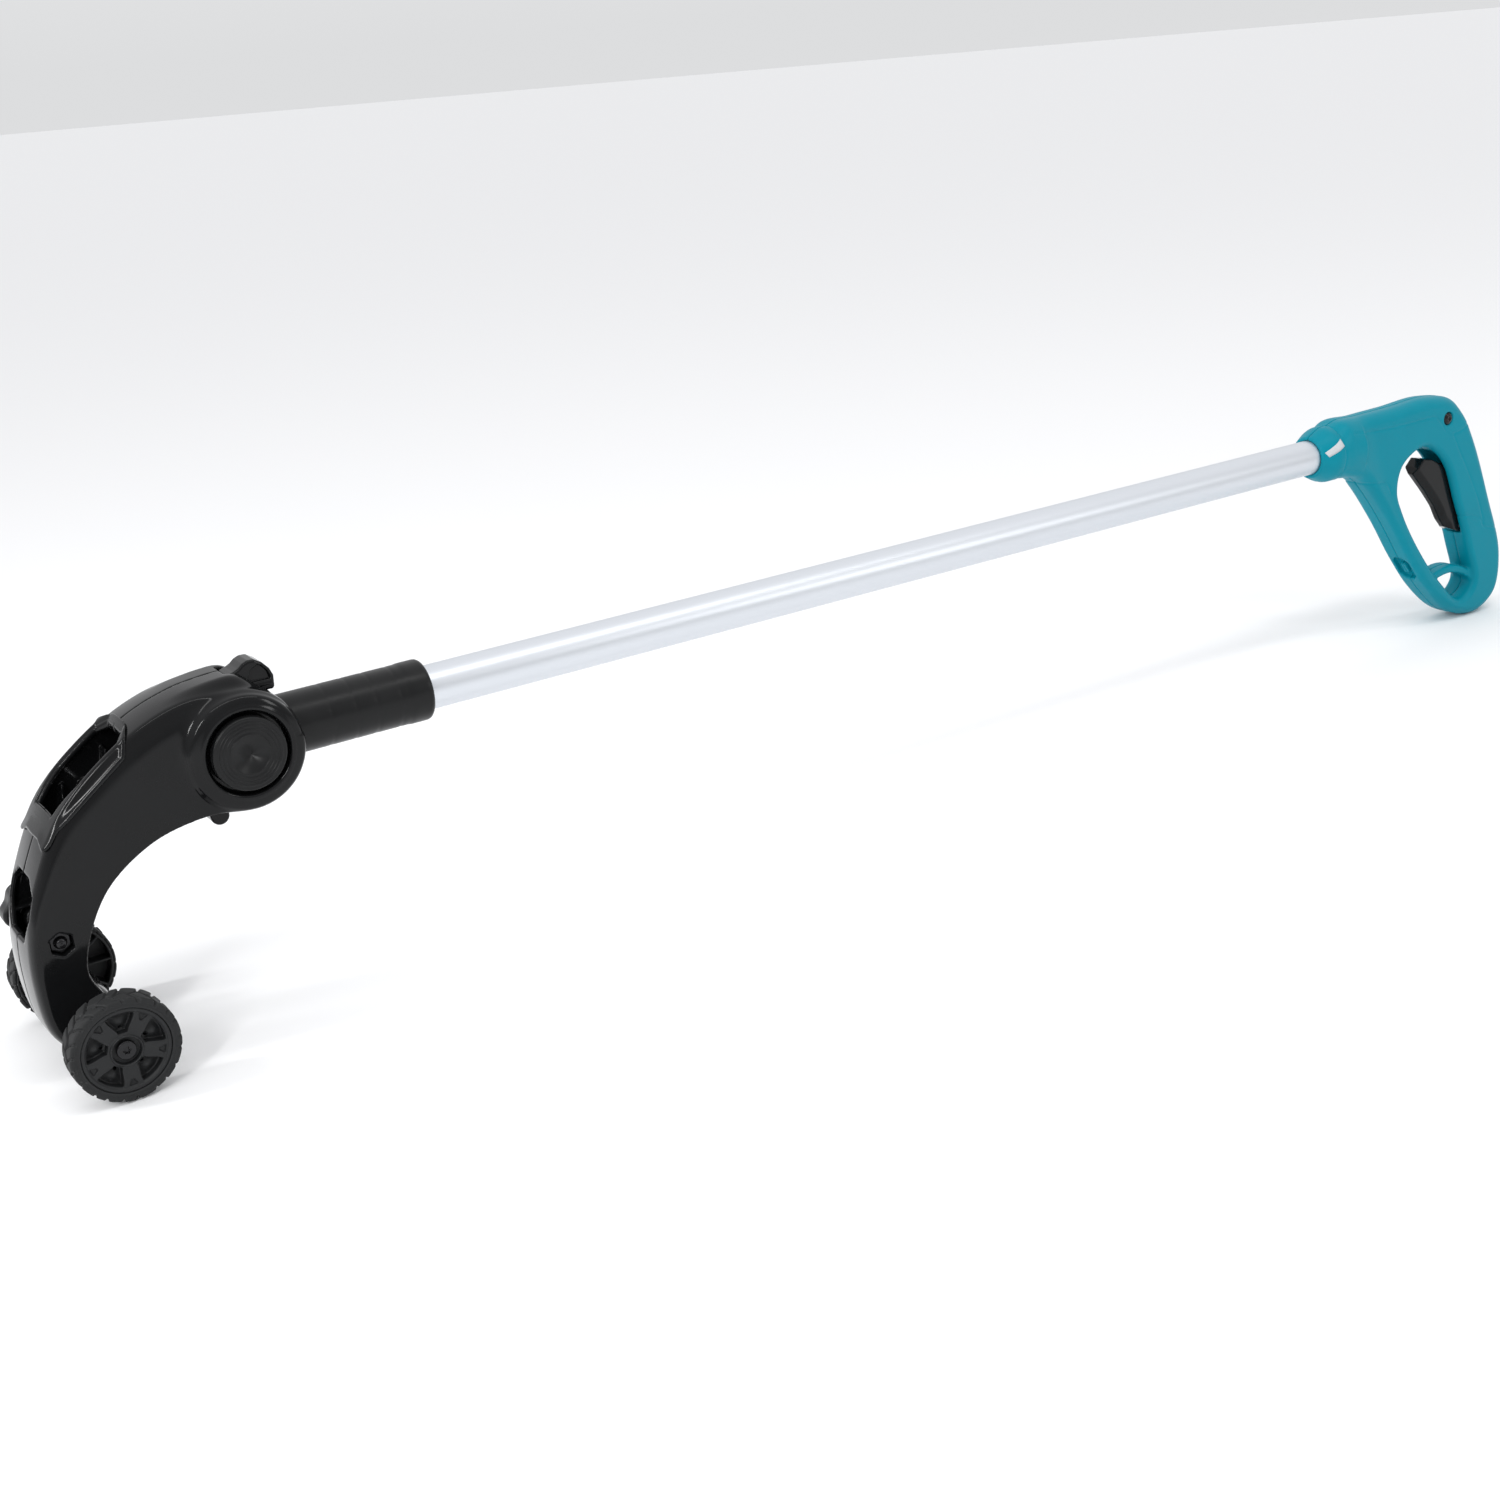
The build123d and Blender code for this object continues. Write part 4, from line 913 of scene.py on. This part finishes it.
# A pale grey mark is printed on the collar's near side, to line the handle up with the tube. It is a
# thin film of paint that follows the curve of the collar.
MARK = [(-53.0, 5.0), (-38.5, 13.0), (-37.0, 7.6), (-50.5, 1.6)]
print_grey = finish("print_grey", (0.5, 0.53, 0.55), (0.58, 0.6, 0.62), (0.4, 0.5), 1500.0, 0.00001)
FILM = 0.12
MARK_STEPS = 16
MARK_ROWS = 4
points, faces = [], []
for layer in (FILM, -FILM):
    for along in np.linspace(0.0, 1.0, MARK_STEPS):
        for aside in np.linspace(0.0, 1.0, MARK_ROWS):
            low = np.array(MARK[0]) * (1 - along) + np.array(MARK[1]) * along
            high = np.array(MARK[3]) * (1 - along) + np.array(MARK[2]) * along
            past, rise = low * (1 - aside) + high * aside
            radius = collar_radius(TUBE_END + past)
            points.append((TUBE_END + past, -math.sqrt(radius ** 2 - rise ** 2) - layer, rise))
count = MARK_STEPS * MARK_ROWS
for layer, turned in ((0, False), (count, True)):
    for a in range(MARK_STEPS - 1):
        for b in range(MARK_ROWS - 1):
            start = layer + a * MARK_ROWS + b
            quad = [start, start + 1, start + MARK_ROWS + 1, start + MARK_ROWS]
            faces.append(quad[::-1] if turned else quad)
edge = [a * MARK_ROWS for a in range(MARK_STEPS)] + [count - MARK_ROWS + b for b in range(1, MARK_ROWS)]
edge += [(a + 1) * MARK_ROWS - 1 for a in range(MARK_STEPS - 2, -1, -1)] + list(range(MARK_ROWS - 2, 0, -1))
faces += [[a, b, b + count, a + count] for a, b in zip(edge, edge[1:] + edge[:1])]
mark = bpy.data.meshes.new("collar_mark")
mark.from_pydata(stood(points), [], faces)
shown("collar_mark", mark, "pole", print_grey)


# The trigger is a gloss black blade with a bevelled front for the fingers. It turns on a steel pin low in
# the grip, and a fork at its top takes the hook of the pull rod.
TRIGGER_HALF = 6.5
TRIGGER_BEVEL = 4.2
TRIGGER_FACE = [(59.5, -33.5), (61.5, -28.5), (67.5, -22.8), (76.5, -24.5), (94.0, -33.0), (113.0, -33.0),
                (114.0, -60.0), (118.0, -84.0), (115.0, -88.5), (110.0, -88.0), (98.5, -82.5), (93.0, -76.0),
                (86.0, -64.0), (74.5, -50.0)]
FRONT = [(40.0, -12.0), (59.5, -33.5), (74.5, -50.0), (86.0, -64.0), (93.0, -76.0), (98.5, -82.5),
         (104.0, -96.0)]
HOOK = (105.0, -38.0)
front_line = smooth_line(FRONT, steps=5)


def trigger(x, y, z):
    past, near = x - TUBE_END, np.abs(y)
    side = from_outline(np.array(TRIGGER_FACE), past, z)
    whole = slab(side, -TRIGGER_HALF, TRIGGER_HALF, y, 0.9)
    bevel = near - TRIGGER_HALF + TRIGGER_BEVEL - from_line(front_line, past, z)
    whole = soft_max(whole, bevel * DIAGONAL, 0.6)
    fork = np.maximum(np.maximum(np.abs(past - HOOK[0] - 2.0) - 10.0, HOOK[1] - 6.0 - z), near - 1.6)
    whole = soft_max(whole, -fork, 0.5)
    way_in = np.maximum(np.maximum(np.abs(past - HOOK[0]) - 1.9, HOOK[1] - 3.5 - z), near - 5.0)
    whole = soft_max(whole, -way_in, 0.4)
    return soft_max(whole, PIN_R + FIT - np.hypot(past - TRIGGER_PIN[0], z - TRIGGER_PIN[1]), 0.3)


blade = moulded("trigger_moulding", "trigger", gloss_black,
                (TUBE_END + 59.0, -7.0, -89.0), (TUBE_END + 118.5, 7.0, -22.0), 0.5, trigger)
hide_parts("trigger")


# Domed black screws close the handle. The one that shows is high on the near side, and the other three
# go in from the far side.
SCREW_DOME = [(-2.5, 0.01), (-2.5, 4.7), (-0.9, 4.6), (0.0, 3.8), (0.7, 2.6), (0.95, 1.4), (-0.4, 1.25),
              (-0.5, 0.01)]
for number, place in enumerate(HANDLE_SCREWS):
    way = -1.0 if number == 0 else 1.0
    dome = [(way * (HANDLE_HALF + rise), radius) for rise, radius in SCREW_DOME]
    ends = dome[::-1] if way > 0 else dome
    screw = ringed(f"handle_screw_{number + 1}", "pole", black_screw, ends, 48,
                   (TUBE_END + place[0], place[1]), "y")
    if number == 0:
        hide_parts("handle_screws")


# The housing that carries the wheels runs across the foot. Outside the head it narrows to slim arms with
# a flare at the root. A pan-head screw with a six-lobed drive holds each wheel.
HOUSING_ARM_R = 6.5
ARM_END = TRACK_HALF - WIDTH / 2.0 - 1.6
arms = [(26.6, 10.6), (27.6, 9.2), (29.5, 8.2), (32.0, 7.3), (35.0, 6.8), (39.0, HOUSING_ARM_R),
        (ARM_END - 0.5, HOUSING_ARM_R), (ARM_END, 6.0), (ARM_END, AXLE_SCREW_R + FIT),
        (34.0, AXLE_SCREW_R + FIT)]
housing = ringed("axle_housing_moulding", "head", gloss_black,
                 [(-a, r) for a, r in arms] + [(-34.0, 0.01), (34.0, 0.01)] + arms[::-1], 96, AXLE, "y")
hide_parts("axle_housing")


SCREW_SEAT = TRACK_HALF + WIDTH / 2.0 - 3.0
SCREW_HEAD_R = 5.0
LOBES = 6


def wheel_screw(x, y, z):
    away, turn = np.hypot(x, z), np.arctan2(z, x)
    head = slab(away - SCREW_HEAD_R, 0.0, 2.3, y, 0.9)
    drive = away - 1.75 - 0.35 * np.cos(LOBES * turn)
    head = soft_max(head, -np.maximum(drive, 0.7 - y), 0.25)
    shank = np.maximum(away - AXLE_SCREW_R, np.abs(y + 8.8) - 9.2)
    return soft_min(head, shank, 0.3)


for name, way in (("left", -1.0), ("right", 1.0)):
    ends = sorted((way * (SCREW_SEAT - 18.2), way * (SCREW_SEAT + 2.4)))
    screw = moulded(f"wheel_screw_{name}", "head", black_screw,
                    (AXLE[0] - 5.2, ends[0], AXLE[1] - 5.2), (AXLE[0] + 5.2, ends[1], AXLE[1] + 5.2), 0.2,
                    on_the_axle(wheel_screw, way, SCREW_SEAT))
    if name == "left":
        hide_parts("axle_screws")


# What is left of the machined and bought parts keeps its drawn shape: the pull rod, pins, gears, screws
# and washers in bright zinc, the springs in steel wire, and the guides of the pull rod in nylon.
bright_zinc = finish("bright_zinc", (0.55, 0.56, 0.58), (0.68, 0.69, 0.7), (0.18, 0.3),
                     1800.0, 0.00001, metal=1.0)
spring_wire = finish("spring_wire", (0.4, 0.41, 0.42), (0.52, 0.53, 0.54), (0.25, 0.35),
                     2200.0, 0.00001, metal=1.0)
for node, made in (("axle_washers", bright_zinc), ("head_screws", bright_zinc),
                   ("lever_pin", bright_zinc), ("lever_spring", spring_wire),
                   ("lock_gear_left", bright_zinc), ("lock_gear_right", bright_zinc),
                   ("lock_spring_left", spring_wire), ("lock_spring_right", spring_wire),
                   ("pivot_axle", bright_zinc), ("pull_rod", bright_zinc), ("rocker_pin", bright_zinc),
                   ("rod_guides", satin_black), ("rod_hook", bright_zinc), ("trigger_pin", bright_zinc),
                   ("trigger_spring", spring_wire)):
    for place in frame["nodes"][node].material_slots:
        place.material = made

size = [[list(map(float, corner)) for corner in box] for box in (cad_box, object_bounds())]
